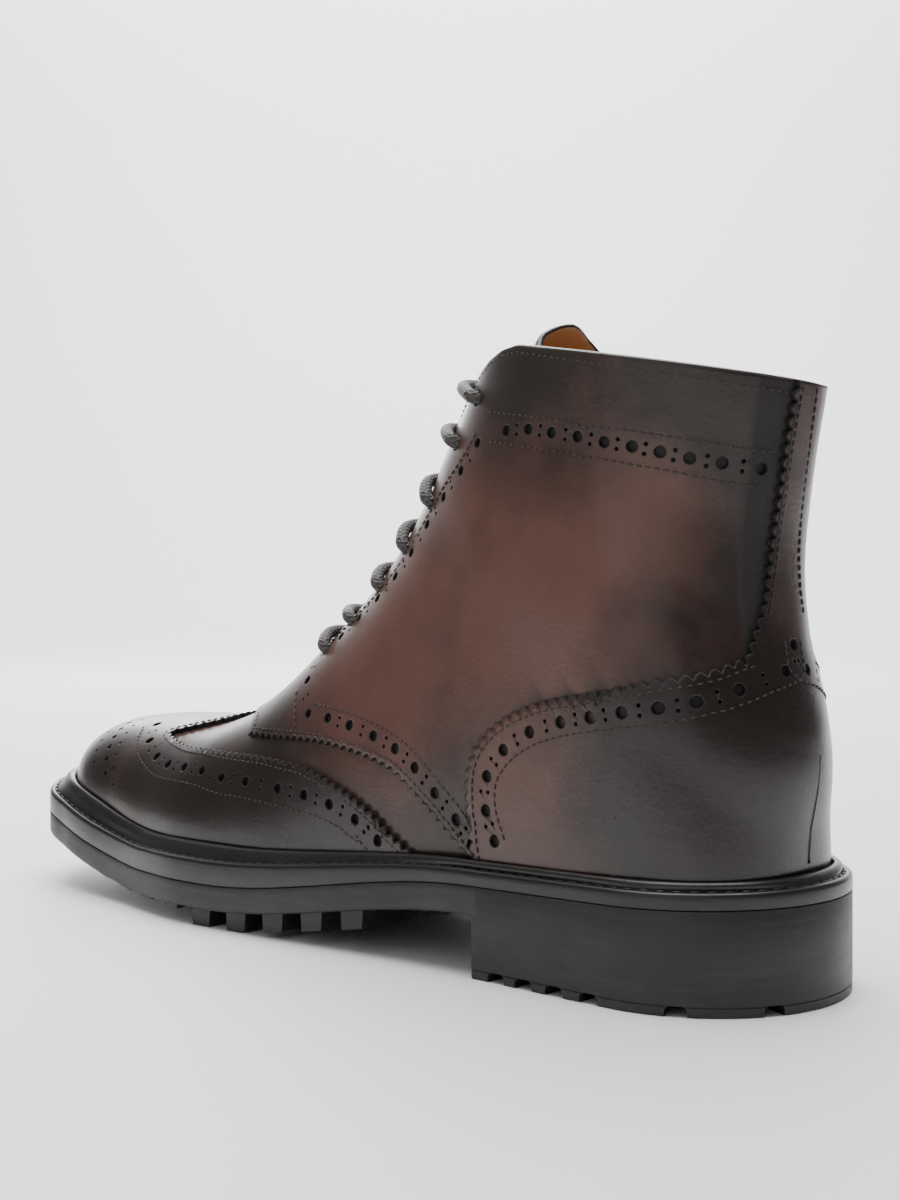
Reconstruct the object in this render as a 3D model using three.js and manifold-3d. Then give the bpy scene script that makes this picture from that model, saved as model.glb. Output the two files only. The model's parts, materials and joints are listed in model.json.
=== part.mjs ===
// A left ankle boot with a wing cap, a seven-bar lacing and a lugged rubber sole.
// Millimetres, +Z up. The toe points along -Y and the outer side of the foot along +X.
// The origin is on the floor, under the middle of the boot's box.
import * as THREE from 'three';
import { mergeVertices } from 'three/addons/utils/BufferGeometryUtils.js';
import Module from 'manifold-3d';

const wasm = await Module();
wasm.setup();

// Driving sizes of the sole
const sole_length = 315;
const ball_width = 100;
const heel_length = 84.5;
const heel_height = 16.6;
const lug_depth = 5.4;
const outsole_edge = 8;
const welt_edge_forefoot = 7.5;
const welt_edge_heel = 4.4;
const toe_spring = 14.5;
const heel_tilt = 1.7;
const heel_round = 40;
const toe_round = 60;
const storm_lip_height = 4.2;
const storm_lip_width = 3.4;
const storm_lip_at_heel = 0.5;
const lug_length = 8.3;
const lug_pitch = 15.3;
const lug_run = 20;
const lug_inset = 3;
const lug_count = 10;
const centre_lug_width = 22;
const notch_width = 5.4;
const notch_height = 2.3;
const notch_depth = 8;
const toe_lug_length = 26;

// Driving sizes of the upper
const shaft_height = 146;
const wall = 2.2;
const leather = 1.2;
const insole_thickness = 3;
const tongue_thickness = 1.8;
const tongue_lean = 12;
const throat_gap = 21;
const throat_foot = 13;
const throat_depth = 14;
const backstay_width = 22;
const backstay_aside = 5;
const clearance = 0.3;

// Driving sizes of the laces
const lace_diameter = 3.8;

// How far each layer of leather stands off the upper's own surface
const quarter_level = leather;
const outer_level = quarter_level + clearance + leather;

// A short table: the first row names its columns
function table(names, ...rows) {
  return rows.map((row) => Object.fromEntries(names.map((name, i) => [name, row[i]])));
}

// The sole's plan: station is the share of the length from the heel,
// centre and half are shares of the ball width
const sole_plan = table(
  ['station', 'centre', 'half'],
  [0.00, 0.000, 0.400],
  [0.14, 0.005, 0.402],
  [0.27, 0.009, 0.400],
  [0.36, 0.023, 0.396],
  [0.46, 0.040, 0.411],
  [0.55, 0.034, 0.445],
  [0.64, 0.008, 0.488],
  [0.70, -0.026, 0.500],
  [0.76, -0.054, 0.494],
  [0.82, -0.060, 0.484],
  [0.88, -0.050, 0.492],
  [0.93, -0.028, 0.515],
  [1.00, -0.022, 0.500],
);

// The upper's rings, from the tip of the toe to above the collar. Each ring lies in a plane
// across the foot, from a front point on the instep line to a back point under the foot or on
// the heel's back line. Stations are shares of the length from the heel, rises are shares of
// the shaft height above the welt, centre and half are shares of the ball width, widest is
// where along the ring it is widest from the back point, and front_curve and back_curve are
// the roundness of its two ends, with 2 for an ellipse.
const upper_rings = table(
  ['front', 'front_rise', 'back', 'back_rise', 'centre', 'half', 'widest', 'front_curve', 'back_curve'],
  [0.955, 0.050, 0.955, 0.050, -0.030, 0.000, 0.50, 2.0, 2.0],
  [0.938, 0.118, 0.936, -0.035, -0.034, 0.210, 0.36, 2.1, 2.5],
  [0.884, 0.182, 0.878, -0.060, -0.044, 0.352, 0.34, 2.2, 3.0],
  [0.812, 0.230, 0.802, -0.060, -0.052, 0.400, 0.32, 2.2, 3.2],
  [0.750, 0.256, 0.734, -0.060, -0.036, 0.414, 0.30, 2.1, 3.2],
  [0.691, 0.278, 0.655, -0.060, -0.006, 0.408, 0.28, 2.0, 3.2],
  [0.622, 0.333, 0.555, -0.080, 0.018, 0.374, 0.28, 2.0, 3.0],
  [0.552, 0.440, 0.430, -0.110, 0.020, 0.342, 0.30, 2.1, 3.0],
  [0.466, 0.586, 0.250, -0.150, 0.011, 0.336, 0.32, 2.2, 3.0],
  [0.408, 0.732, 0.058, -0.160, 0.005, 0.338, 0.34, 2.4, 2.8],
  [0.381, 0.822, 0.028, 0.100, 0.003, 0.338, 0.32, 2.5, 2.2],
  [0.362, 0.882, 0.026, 0.240, 0.003, 0.332, 0.34, 2.5, 2.0],
  [0.349, 0.927, 0.043, 0.405, 0.003, 0.320, 0.38, 2.5, 2.0],
  [0.337, 0.968, 0.046, 0.560, 0.003, 0.314, 0.42, 2.5, 2.0],
  [0.325, 1.010, 0.038, 0.710, 0.003, 0.322, 0.44, 2.5, 2.0],
  [0.313, 1.052, 0.026, 0.870, 0.003, 0.334, 0.45, 2.5, 2.0],
  [0.300, 1.100, 0.020, 1.000, 0.003, 0.341, 0.45, 2.5, 2.0],
);
const last_ring = upper_rings.length - 1;

// A smooth curve through the rows of a table
function throughRows(rows, name, place) {
  const i = Math.min(Math.max(Math.floor(place), 0), rows.length - 2);
  const t = place - i;
  const b = rows[i][name];
  const c = rows[i + 1][name];
  const a = i > 0 ? rows[i - 1][name] : 2 * b - c;
  const d = i < rows.length - 2 ? rows[i + 2][name] : 2 * c - b;
  const slope_b = (c - a) / 2;
  const slope_c = (d - b) / 2;
  const t2 = t * t;
  const t3 = t2 * t;
  return b * (2 * t3 - 3 * t2 + 1) + slope_b * (t3 - 2 * t2 + t) + c * (3 * t2 - 2 * t3) + slope_c * (t3 - t2);
}

// The place of a station in a table whose rows have stations, as a row number with its fraction
function placeOf(rows, station) {
  let i = 0;
  while (i < rows.length - 2 && rows[i + 1].station < station) {
    i += 1;
  }
  return i + (station - rows[i].station) / (rows[i + 1].station - rows[i].station);
}

const clamp01 = (value) => Math.min(Math.max(value, 0), 1);
const ease = (value) => clamp01(value) ** 2 * (3 - 2 * clamp01(value));
const lengthwise = (station) => sole_length * (0.5 - station);
const stationAt = (y) => 0.5 - y / sole_length;

// The sole's edge in plan: centre line and half width at a station
const toe_roundness = 1.8;
function roundEnd(distance, reach, power) {
  const u = clamp01(distance / reach);
  return (1 - (1 - u) ** power) ** (1 / power);
}
function soleEdge(station, inset = 0) {
  const place = placeOf(sole_plan, station);
  const from_heel = station * sole_length - inset;
  const from_toe = (1 - station) * sole_length - inset;
  const ends = roundEnd(from_heel, heel_round, 2) * roundEnd(from_toe, toe_round, toe_roundness);
  const half = throughRows(sole_plan, 'half', place) * ball_width - inset;
  return { centre: throughRows(sole_plan, 'centre', place) * ball_width, half: half * ends };
}

// Heights of the sole's layers at a station
const breast = heel_length / sole_length;
const waist_end = 0.60;
const ball_end = 0.70;
const toe_lugs_start = 0.64;
const toe_lugs_end = 0.74;
const toe_lug_share = 0.25;
function soleBottom(station) {
  const waist = ease((waist_end - station) / (waist_end - breast));
  const spring = ease(clamp01((station - ball_end) / (1 - ball_end)) ** 1.1);
  return lug_depth + (heel_height - lug_depth) * waist + toe_spring * spring;
}
function lugBottom(station) {
  const shallow = ease((station - toe_lugs_start) / (toe_lugs_end - toe_lugs_start));
  return soleBottom(station) - lug_depth * (1 - (1 - toe_lug_share) * shallow);
}
function outsoleTop(station) {
  const back_of_breast = clamp01((breast - station) / breast);
  return soleBottom(station) + outsole_edge + heel_tilt * back_of_breast;
}
const forefootShare = (station) => ease((station - breast) / (waist_end - breast));
function weltTop(station) {
  return outsoleTop(station) + welt_edge_heel + (welt_edge_forefoot - welt_edge_heel) * forefootShare(station);
}
function lipTop(station) {
  const share = storm_lip_at_heel + (1 - storm_lip_at_heel) * forefootShare(station);
  return weltTop(station) + storm_lip_height * share;
}

// Solids and their booleans
function solidOf(geometry) {
  const plain = geometry.index ? geometry.clone() : geometry;
  plain.deleteAttribute('normal');
  plain.deleteAttribute('uv');
  const merged = mergeVertices(plain, 1e-4);
  return new wasm.Manifold(new wasm.Mesh({
    numProp: 3,
    vertProperties: new Float32Array(merged.attributes.position.array),
    triVerts: new Uint32Array(merged.index.array),
  }));
}
function geometryOf(solid) {
  const mesh = solid.getMesh();
  const geometry = new THREE.BufferGeometry();
  geometry.setAttribute('position', new THREE.BufferAttribute(mesh.vertProperties, 3));
  geometry.setIndex(new THREE.BufferAttribute(mesh.triVerts, 1));
  return geometry;
}
function geometryFrom(points, faces) {
  const geometry = new THREE.BufferGeometry();
  geometry.setAttribute('position', new THREE.BufferAttribute(new Float32Array(points.flat()), 3));
  geometry.setIndex(faces.flat());
  return geometry;
}

// A closed stack of rings with the same number of points, each end closed by a fan
function stackRings(rings, start, end) {
  const around = rings[0].length;
  const points = [start, ...rings.flat(), end];
  const last = points.length - 1;
  const faces = [];
  for (let j = 0; j < around; j += 1) {
    const k = (j + 1) % around;
    faces.push([0, 1 + k, 1 + j]);
    for (let i = 0; i < rings.length - 1; i += 1) {
      const low = 1 + i * around;
      const high = low + around;
      faces.push([low + j, low + k, high + k]);
      faces.push([low + j, high + k, high + j]);
    }
    faces.push([last, last - around + j, last - around + k]);
  }
  return geometryFrom(points, faces);
}

// A closed loop of equal closed sections
function closeTorus(sections) {
  const around = sections[0].length;
  const faces = [];
  for (let i = 0; i < sections.length; i += 1) {
    const low = i * around;
    const high = ((i + 1) % sections.length) * around;
    for (let j = 0; j < around; j += 1) {
      const k = (j + 1) % around;
      faces.push([low + j, low + k, high + k]);
      faces.push([low + j, high + k, high + j]);
    }
  }
  return geometryFrom(sections.flat(), faces);
}

// A closed curved sheet: each section runs out along its inside and back along its outside
function closeSheet(sections) {
  const around = sections[0].length;
  const faces = [];
  for (let i = 0; i < sections.length - 1; i += 1) {
    const low = i * around;
    const high = low + around;
    for (let j = 0; j < around; j += 1) {
      const k = (j + 1) % around;
      faces.push([low + j, low + k, high + k]);
      faces.push([low + j, high + k, high + j]);
    }
  }
  const end = (sections.length - 1) * around;
  for (let j = 0; j < around / 2 - 1; j += 1) {
    const back = around - 1 - j;
    faces.push([j, back, back - 1]);
    faces.push([j, back - 1, j + 1]);
    faces.push([end + j, end + back - 1, end + back]);
    faces.push([end + j, end + j + 1, end + back - 1]);
  }
  return geometryFrom(sections.flat(), faces);
}

// A slab of the sole's plan between two heights that follow the station. Its steps are closer
// at the round ends, and it always has one at each end of the forefoot's flat spot.
const plan_steps = 24;
function slab(from, to, low, high, inset = 0) {
  const rings = [];
  const tip = inset / sole_length;
  const first = Math.max(from, tip);
  const final = Math.min(to, 1 - tip);
  const even = Array.from({ length: plan_steps + 1 }, (_, i) => (1 - Math.cos(Math.PI * i / plan_steps)) / 2);
  const marks = [waist_end, toe_lugs_start].filter((mark) => mark > first && mark < final);
  const stations = [...even.map((share) => first + (final - first) * share), ...marks].sort((a, b) => a - b);
  for (const station of stations) {
    const edge = soleEdge(station, inset);
    const half = Math.max(edge.half, 0.05);
    const y = lengthwise(station);
    rings.push([
      [edge.centre - half, y, low(station)],
      [edge.centre + half, y, low(station)],
      [edge.centre + half, y, high(station)],
      [edge.centre - half, y, high(station)],
    ]);
  }
  const middle = (ring) => [(ring[0][0] + ring[1][0]) / 2, ring[0][1], (ring[0][2] + ring[2][2]) / 2];
  return solidOf(stackRings(rings, middle(rings[0]), middle(rings[rings.length - 1])));
}

// A box by its middle and size, turned about the vertical
function block(middle, size, turn = 0) {
  const box = new THREE.BoxGeometry(...size);
  box.rotateZ(turn);
  box.translate(...middle);
  return solidOf(box);
}

// A spot in the side view: a station, and a rise above the welt as a share of the shaft height
function sideSpot(station, rise) {
  return new THREE.Vector2(lengthwise(station), weltTop(clamp01(station)) + rise * shaft_height);
}

// A flat outline in the side view, pushed across the boot
const side_reach = 80;
function sideCut(outline) {
  const shape = new THREE.Shape(outline.map(({ station, rise }) => sideSpot(station, rise)));
  const prism = new THREE.ExtrudeGeometry(shape, { depth: 2 * side_reach, bevelEnabled: false });
  prism.translate(0, 0, -side_reach);
  prism.applyMatrix4(new THREE.Matrix4().makeBasis(
    new THREE.Vector3(0, 1, 0), new THREE.Vector3(0, 0, 1), new THREE.Vector3(1, 0, 0)));
  return solidOf(prism);
}

// A point of the upper's surface: place runs along the rings, angle round them from the front
function ringFrame(place) {
  const read = (name) => throughRows(upper_rings, name, place);
  const front = read('front');
  const back = read('back');
  return {
    front: sideSpot(front, read('front_rise')),
    back: sideSpot(back, read('back_rise')),
    centre: read('centre') * ball_width,
    half: Math.max(read('half'), 0) * ball_width,
    widest: read('widest'),
    front_curve: read('front_curve'),
    back_curve: read('back_curve'),
  };
}
function surfacePoint(place, angle) {
  const ring = ringFrame(place);
  const ahead = Math.cos(angle);
  const aside = Math.sin(angle);
  const curve = ahead >= 0 ? ring.front_curve : ring.back_curve;
  const along = Math.abs(ahead) ** (2 / curve);
  const across = Math.sign(aside) * Math.abs(aside) ** (2 / curve);
  const share = ahead >= 0 ? ring.widest + (1 - ring.widest) * along : ring.widest * (1 - along);
  const spot = ring.back.clone().lerp(ring.front, share);
  return new THREE.Vector3(ring.centre + ring.half * across, spot.x, spot.y);
}
const probe = 0.02;
function offsetPoint(place, angle, offset) {
  const centre_place = Math.min(Math.max(place, 0.05), last_ring - 0.05);
  const along = surfacePoint(centre_place + probe, angle).sub(surfacePoint(centre_place - probe, angle));
  const around = surfacePoint(centre_place, angle + probe).sub(surfacePoint(centre_place, angle - probe));
  const normal = along.cross(around).normalize();
  const point = surfacePoint(place, angle).addScaledVector(normal, -offset);
  return [point.x, point.y, point.z];
}
function toePoint(offset) {
  const tip = surfacePoint(0, 0);
  return [tip.x, tip.y - offset, tip.z];
}

// The upper's whole form at an offset from its own surface, closed above the collar
const ring_steps = 28;
const around_steps = 30;
const first_place = 0.16;
function upperForm(offset) {
  const rings = [];
  for (let i = 0; i <= ring_steps; i += 1) {
    const place = first_place + (last_ring - first_place) * i / ring_steps;
    const ring = [];
    for (let j = 0; j < around_steps; j += 1) {
      ring.push(offsetPoint(place, 2 * Math.PI * j / around_steps, offset));
    }
    rings.push(ring);
  }
  const top = ringFrame(last_ring);
  const middle = top.front.clone().add(top.back).multiplyScalar(0.5);
  return solidOf(stackRings(rings, toePoint(offset), [top.centre, middle.x, middle.y]));
}

// The part of a form's skin behind an edge that runs round the foot. The edge is a table of
// angles from the top of the instep, in degrees, and places along the rings.
const cap_edge = table(
  ['angle', 'place'],
  [0, 5.00], [12, 4.70], [22, 4.20], [30, 3.75], [34, 3.68], [38, 3.95], [42, 4.45],
  [47, 5.25], [54, 5.95], [60, 6.38], [66, 6.72], [72, 7.02], [82, 7.35], [92, 7.58], [102, 7.70],
);
const quarter_edge = table(
  ['angle', 'place'],
  [0, 5.35], [14, 5.62], [26, 5.86], [36, 6.02], [46, 6.17], [56, 6.75], [63, 7.20], [70, 7.53],
  [78, 7.82], [88, 7.98], [102, 8.10],
);
const skin_inside = -5;
const skin_outside = 8;
const edge_rows = 16;
const edge_step = 6;
function edgePlace(edge, angle) {
  const next = edge.findIndex((row) => row.angle >= angle);
  if (next === -1) {
    return edge[edge.length - 1].place;
  }
  if (next === 0) {
    return edge[0].place;
  }
  const share = (angle - edge[next - 1].angle) / (edge[next].angle - edge[next - 1].angle);
  return edge[next - 1].place + (edge[next].place - edge[next - 1].place) * share;
}
function behindEdge(edge) {
  const sections = [];
  for (let angle = -180; angle < 180; angle += edge_step) {
    const start = edgePlace(edge, Math.abs(angle));
    const turn = THREE.MathUtils.degToRad(angle);
    const section = [];
    for (let i = 0; i <= edge_rows; i += 1) {
      section.push(offsetPoint(start + (last_ring - start) * i / edge_rows, turn, skin_inside));
    }
    for (let i = edge_rows; i >= 0; i -= 1) {
      section.push(offsetPoint(start + (last_ring - start) * i / edge_rows, turn, skin_outside));
    }
    sections.push(section);
  }
  return solidOf(closeTorus(sections));
}

const above = 400;
const outer = upperForm(0);
const inner = upperForm(-wall);

// What lies above the welt, from a height over it
const overWelt = (rise) => slab(0, 1, (s) => weltTop(s) + rise, () => above, -20);
const group = new THREE.Group();
function add(name, solid, colour, roughness) {
  const material = new THREE.MeshStandardMaterial({ color: colour, roughness, metalness: 0 });
  const mesh = new THREE.Mesh(geometryOf(solid), material);
  mesh.name = name;
  group.add(mesh);
}
const rubber_colour = 0x2b2725;
const dark_leather_colour = 0x33231f;
const brown_leather_colour = 0x4f2d22;
const lining_colour = 0x8a5a34;
const lace_colour = 0x3a3431;

// The heel's edge notches: along is the share of the heel length ahead of its middle, across the
// share of its half width, turn in degrees. Each is cut on both sides.
const heel_notches = table(
  ['along', 'across', 'turn'],
  [0.40, 1.00, 0],
  [0.29, 1.00, 0],
  [0.17, 1.00, 0],
  [0.04, 1.00, 0],
  [-0.23, 0.88, 26],
  [-0.44, 0.48, 62],
);

// The outsole: sole edge, heel and lugs moulded as one piece
const lug_first = lengthwise(0.850);
const toe_lug_start = 1 - toe_lug_length / sole_length;
const heel_middle = lengthwise(heel_length / 2 / sole_length);
function lugRow(index) {
  const y = lug_first + index * lug_pitch;
  const middle = soleEdge(stationAt(y)).centre;
  const reach = ball_width;
  const outward = lug_run + reach / 2;
  const tall = 4 * toe_spring;
  return [
    block([middle + outward, y, 0], [reach, lug_length, tall]),
    block([middle - outward, y, 0], [reach, lug_length, tall]),
    block([middle, y + lug_pitch / 2, 0], [centre_lug_width, lug_length, tall]),
  ];
}
function outsole() {
  const plate = slab(0, 1, soleBottom, outsoleTop);
  const heel = slab(0, breast, () => 0, (s) => soleBottom(s) + 1);
  const below = slab(0, 1, lugBottom, (s) => soleBottom(s) + 1, lug_inset);
  const toe_lug = slab(toe_lug_start, 1, lugBottom, (s) => soleBottom(s) + 1, lug_inset);
  const rows = Array.from({ length: lug_count }, (_, i) => lugRow(i)).flat();
  const lugs = wasm.Manifold.union(rows).intersect(below).add(toe_lug);
  const notches = [];
  for (const { along, across, turn } of heel_notches) {
    const x = across * soleEdge(breast / 2).half;
    const y = heel_middle - along * heel_length;
    notches.push(block([x, y, 0], [2 * notch_depth, notch_width, 2 * notch_height], THREE.MathUtils.degToRad(turn)));
    notches.push(block([-x, y, 0], [2 * notch_depth, notch_width, 2 * notch_height], -THREE.MathUtils.degToRad(turn)));
  }
  return plate.add(heel).add(lugs).subtract(wasm.Manifold.union(notches));
}
add('outsole', outsole(), rubber_colour, 0.6);

// The welt: a plate under the whole foot, with a raised lip round the upper
function welt() {
  const plate = slab(0, 1, (s) => outsoleTop(s) + clearance, weltTop);
  const lip_inside = upperForm(outer_level + clearance);
  const lip_outside = upperForm(outer_level + clearance + storm_lip_width);
  const band = slab(0, 1, (s) => weltTop(s) - 1, lipTop);
  return plate.add(lip_outside.subtract(lip_inside).intersect(band));
}
add('welt', welt(), rubber_colour, 0.55);

// The insole, just inside the wall
const under_wall = upperForm(-wall - clearance);
const insole = slab(0, 1, (s) => weltTop(s) + clearance, (s) => weltTop(s) + clearance + insole_thickness)
  .intersect(under_wall);
add('insole', insole, lining_colour, 0.8);

// The collar and the throat, cut through every layer
const collar_line = table(
  ['station', 'rise'],
  [-0.040, 0.832], [0.243, 0.958], [0.265, 0.953], [0.287, 0.938], [0.306, 0.916], [0.329, 0.888],
  [0.354, 0.852], [0.373, 0.835], [0.392, 0.829], [0.690, 0.867], [0.690, 1.640], [-0.040, 1.640],
);
const over_collar = sideCut(collar_line);
const throat_rows = 12;
const throat_place = 6.1;
function throatCut() {
  const sections = [];
  for (let i = 0; i <= throat_rows; i += 1) {
    const share = i / throat_rows;
    const place = throat_place + (last_ring - throat_place) * share;
    const ring = ringFrame(place);
    const half = (throat_foot + (throat_gap - throat_foot) * share) / 2;
    const out = ring.front.clone().sub(ring.back).normalize();
    const low = ring.front.clone().addScaledVector(out, -throat_depth);
    const high = ring.front.clone().addScaledVector(out, throat_depth);
    sections.push([
      [ring.centre - half, high.x, high.y],
      [ring.centre + half, high.x, high.y],
      [ring.centre + half, low.x, low.y],
      [ring.centre - half, low.x, low.y],
    ]);
  }
  return solidOf(closeSheet(sections));
}
const throat = throatCut();

// The upper: one hollow solid, thicker by a step where the quarters lie over the vamp
const quarter_step = upperForm(quarter_level).intersect(behindEdge(quarter_edge));
const upper = outer.add(quarter_step).subtract(inner).intersect(overWelt(clearance))
  .subtract(over_collar).subtract(throat);
add('upper', upper, brown_leather_colour, 0.4);

// The wing cap, over the front of the vamp
const cap_skin = upperForm(clearance + leather).subtract(upperForm(clearance)).intersect(overWelt(clearance));
add('wing_cap', cap_skin.subtract(over_collar).subtract(behindEdge(cap_edge)), dark_leather_colour, 0.3);

// The pieces that lie over the quarters
const top_skin = upperForm(outer_level).subtract(upperForm(quarter_level + clearance))
  .intersect(overWelt(clearance)).subtract(over_collar);
const counter_outline = table(
  ['station', 'rise'],
  [0.278, -0.130], [0.287, 0.138], [0.283, 0.199], [0.267, 0.247], [0.240, 0.280], [0.198, 0.309],
  [0.148, 0.327], [0.100, 0.342], [0.068, 0.361], [0.049, 0.388], [0.049, 0.449], [-0.103, 0.447],
  [-0.103, -0.130],
);
const counter_cut = sideCut(counter_outline);
add('counter', top_skin.intersect(counter_cut), dark_leather_colour, 0.35);
const backstay_front = 0.100;
const backstay_foot = 0.449;
const backstay_end = 1.160;
const backstay_bottom = sideSpot(0, backstay_foot).y + clearance;
const backstay_cut = sideCut(table(
  ['station', 'rise'],
  [backstay_front, backstay_foot], [backstay_front, backstay_end], [-backstay_front, backstay_end],
  [-backstay_front, backstay_foot],
)).intersect(block(
  [-backstay_aside, lengthwise(0), backstay_bottom + shaft_height / 2], [backstay_width, heel_length, shaft_height]));
add('backstay', top_skin.intersect(backstay_cut), dark_leather_colour, 0.35);

// The tongue, under the throat. It follows the instep, then leans back behind the collar's front.
const tongue_start = 5.7;
const tongue_end = 15.6;
const tongue_drop = 1.6;
const lean_start = 9;
const tongue_angles = { low: 34, high: 54 };
const tongue_rows = 10;
const tongue_columns = 8;
function tongue() {
  const sections = [];
  for (let j = 0; j <= tongue_columns; j += 1) {
    const across = 2 * j / tongue_columns - 1;
    const end = tongue_end - tongue_drop * across ** 2;
    const inside = [];
    const outside = [];
    for (let i = 0; i <= tongue_rows; i += 1) {
      const place = tongue_start + (end - tongue_start) * i / tongue_rows;
      const up = clamp01((place - tongue_start) / (lean_start - tongue_start));
      const angle = across * (tongue_angles.low + (tongue_angles.high - tongue_angles.low) * up);
      const lean = tongue_lean * clamp01((place - lean_start) / (tongue_end - lean_start)) ** 1.5;
      const depth = wall + lean;
      outside.push(offsetPoint(place, THREE.MathUtils.degToRad(angle), -depth));
      inside.push(offsetPoint(place, THREE.MathUtils.degToRad(angle), -depth - tongue_thickness));
    }
    sections.push([...inside, ...outside.reverse()]);
  }
  return solidOf(closeSheet(sections)).intersect(under_wall);
}
add('tongue', tongue(), brown_leather_colour, 0.5);

// The lace's seven bars, each from eyelet to eyelet over the throat
const eyelets = table(
  ['middle', 'place', 'angle', 'dip'],
  [7.18, 7.26, 28, 1.8],
  [7.45, 7.62, 26, 1.4],
  [8.00, 8.04, 25, 1.4],
  [8.55, 8.55, 26, 2.0],
  [9.22, 9.22, 27, 2.2],
  [10.35, 10.65, 32, 2.4],
  [11.95, 12.40, 42, 2.6],
);
const lace_sides = 8;
const lace_steps = 8;
const edge_share = 0.5;
function laceBar({ middle, place, angle, dip }) {
  const radius = lace_diameter / 2;
  const rest = quarter_level + 2 * clearance + radius;
  const stops = [-1, -edge_share, 0, edge_share, 1].map((share) => {
    const rise = share === 0 ? rest - dip : rest;
    const along = middle + (place - middle) * share ** 2;
    const point = offsetPoint(along, THREE.MathUtils.degToRad(angle * share), rise);
    return new THREE.Vector3(...point);
  });
  const section = new THREE.Shape();
  for (let k = 0; k < lace_sides; k += 1) {
    const turn = 2 * Math.PI * k / lace_sides;
    const corner = [radius * Math.cos(turn), radius * Math.sin(turn)];
    if (k === 0) {
      section.moveTo(...corner);
    } else {
      section.lineTo(...corner);
    }
  }
  const path = new THREE.CatmullRomCurve3(stops);
  const bar = new THREE.ExtrudeGeometry(section, { steps: lace_steps, extrudePath: path, bevelEnabled: false });
  return solidOf(bar);
}
eyelets.forEach((eyelet, i) => add(`lace_bar_${i + 1}`, laceBar(eyelet), lace_colour, 0.7));

// The origin comes under the middle of the box
const box = new THREE.Box3().setFromObject(group);
const shift = box.getCenter(new THREE.Vector3());
group.children.forEach((mesh) => mesh.geometry.translate(-shift.x, -shift.y, -box.min.z));

export default group;
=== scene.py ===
# %% [markdown]
# # A wing cap ankle boot
# A boot is made on a last: a solid foot form that every piece of leather is pulled over. The
# same is done here. One function describes the last, and every piece is first cut flat, as a
# pattern, and then laid on it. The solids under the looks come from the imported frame.
# %% Start
import bpy, bmesh, json, math
import numpy as np
from mathutils import Vector, Matrix, geometry, noise

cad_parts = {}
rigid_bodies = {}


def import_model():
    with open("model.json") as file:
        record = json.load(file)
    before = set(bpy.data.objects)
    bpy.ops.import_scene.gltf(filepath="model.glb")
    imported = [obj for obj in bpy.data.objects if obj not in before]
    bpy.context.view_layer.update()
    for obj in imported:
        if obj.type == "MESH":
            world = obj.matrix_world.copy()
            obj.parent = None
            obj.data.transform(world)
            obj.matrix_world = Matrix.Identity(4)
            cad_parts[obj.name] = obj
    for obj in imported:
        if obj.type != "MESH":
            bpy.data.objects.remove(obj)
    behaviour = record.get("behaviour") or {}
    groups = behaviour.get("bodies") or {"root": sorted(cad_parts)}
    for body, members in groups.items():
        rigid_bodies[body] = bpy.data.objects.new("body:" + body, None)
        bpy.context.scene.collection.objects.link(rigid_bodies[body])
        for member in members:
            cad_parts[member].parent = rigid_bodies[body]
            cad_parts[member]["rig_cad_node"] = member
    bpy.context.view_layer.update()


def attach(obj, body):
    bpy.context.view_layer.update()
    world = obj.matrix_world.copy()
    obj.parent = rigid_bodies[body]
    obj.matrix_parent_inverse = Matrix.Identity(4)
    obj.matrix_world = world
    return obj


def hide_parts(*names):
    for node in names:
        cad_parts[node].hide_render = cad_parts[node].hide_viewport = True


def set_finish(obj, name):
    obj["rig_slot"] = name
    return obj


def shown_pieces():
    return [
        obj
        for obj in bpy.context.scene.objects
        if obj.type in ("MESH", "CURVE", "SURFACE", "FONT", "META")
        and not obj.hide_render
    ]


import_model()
mm = 0.001

def linked(name, data):
    """A new object, put into the scene."""
    thing = bpy.data.objects.new(name, data)
    bpy.context.scene.collection.objects.link(thing)
    return thing

# %% [markdown]
# ## Camera
# The photograph was taken from the outer side and a little behind, almost level, from about
# half a metre. The camera stands at that place, and its lens gives the same framing.
# %% Camera
camera_turn = math.radians(42.58)
camera_pitch = math.radians(0.2)
camera_data = bpy.data.cameras.new("camera")
camera_data.lens = 47.3
camera_data.sensor_width = 36
camera = linked("camera", camera_data)
forward = Vector((-math.cos(camera_turn) * math.cos(camera_pitch),
                  -math.sin(camera_turn) * math.cos(camera_pitch), -math.sin(camera_pitch)))
camera.rotation_euler = forward.to_track_quat("-Z", "Y").to_euler()
camera.location = (0.3565, 0.3530, 0.1025)
bpy.context.scene.camera = camera
print("camera at", tuple(camera.location))

# %% [markdown]
# ## The last
# The sole's plan and the last's rings are short tables of shares. A ring lies in a plane across
# the foot, from the instep line in front to the heel's back line. A place counts along the rings
# from the tip of the toe to the collar, and an angle runs round a ring from the instep.
# %% Sole plan and heights
sole_length, ball_width, shaft_height = 315.0, 100.0, 146.0
heel_length, heel_height, lug_depth, outsole_edge = 84.5, 16.6, 5.4, 8.0
welt_edge_forefoot, welt_edge_heel, toe_spring, heel_tilt = 7.5, 4.4, 14.5, 1.7
heel_round, toe_round, toe_roundness = 40.0, 60.0, 1.8
side_shift = 2.51
sole_plan = np.array([
    [0.00, 0.000, 0.400], [0.14, 0.005, 0.402], [0.27, 0.009, 0.400], [0.36, 0.023, 0.396],
    [0.46, 0.040, 0.411], [0.55, 0.034, 0.445], [0.64, 0.008, 0.488], [0.70, -0.026, 0.500],
    [0.76, -0.054, 0.494], [0.82, -0.060, 0.484], [0.88, -0.050, 0.492], [0.93, -0.028, 0.515],
    [1.00, -0.022, 0.500]])

def clamp01(value):
    return np.clip(value, 0.0, 1.0)

def ease(value):
    return clamp01(value) ** 2 * (3 - 2 * clamp01(value))

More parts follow.
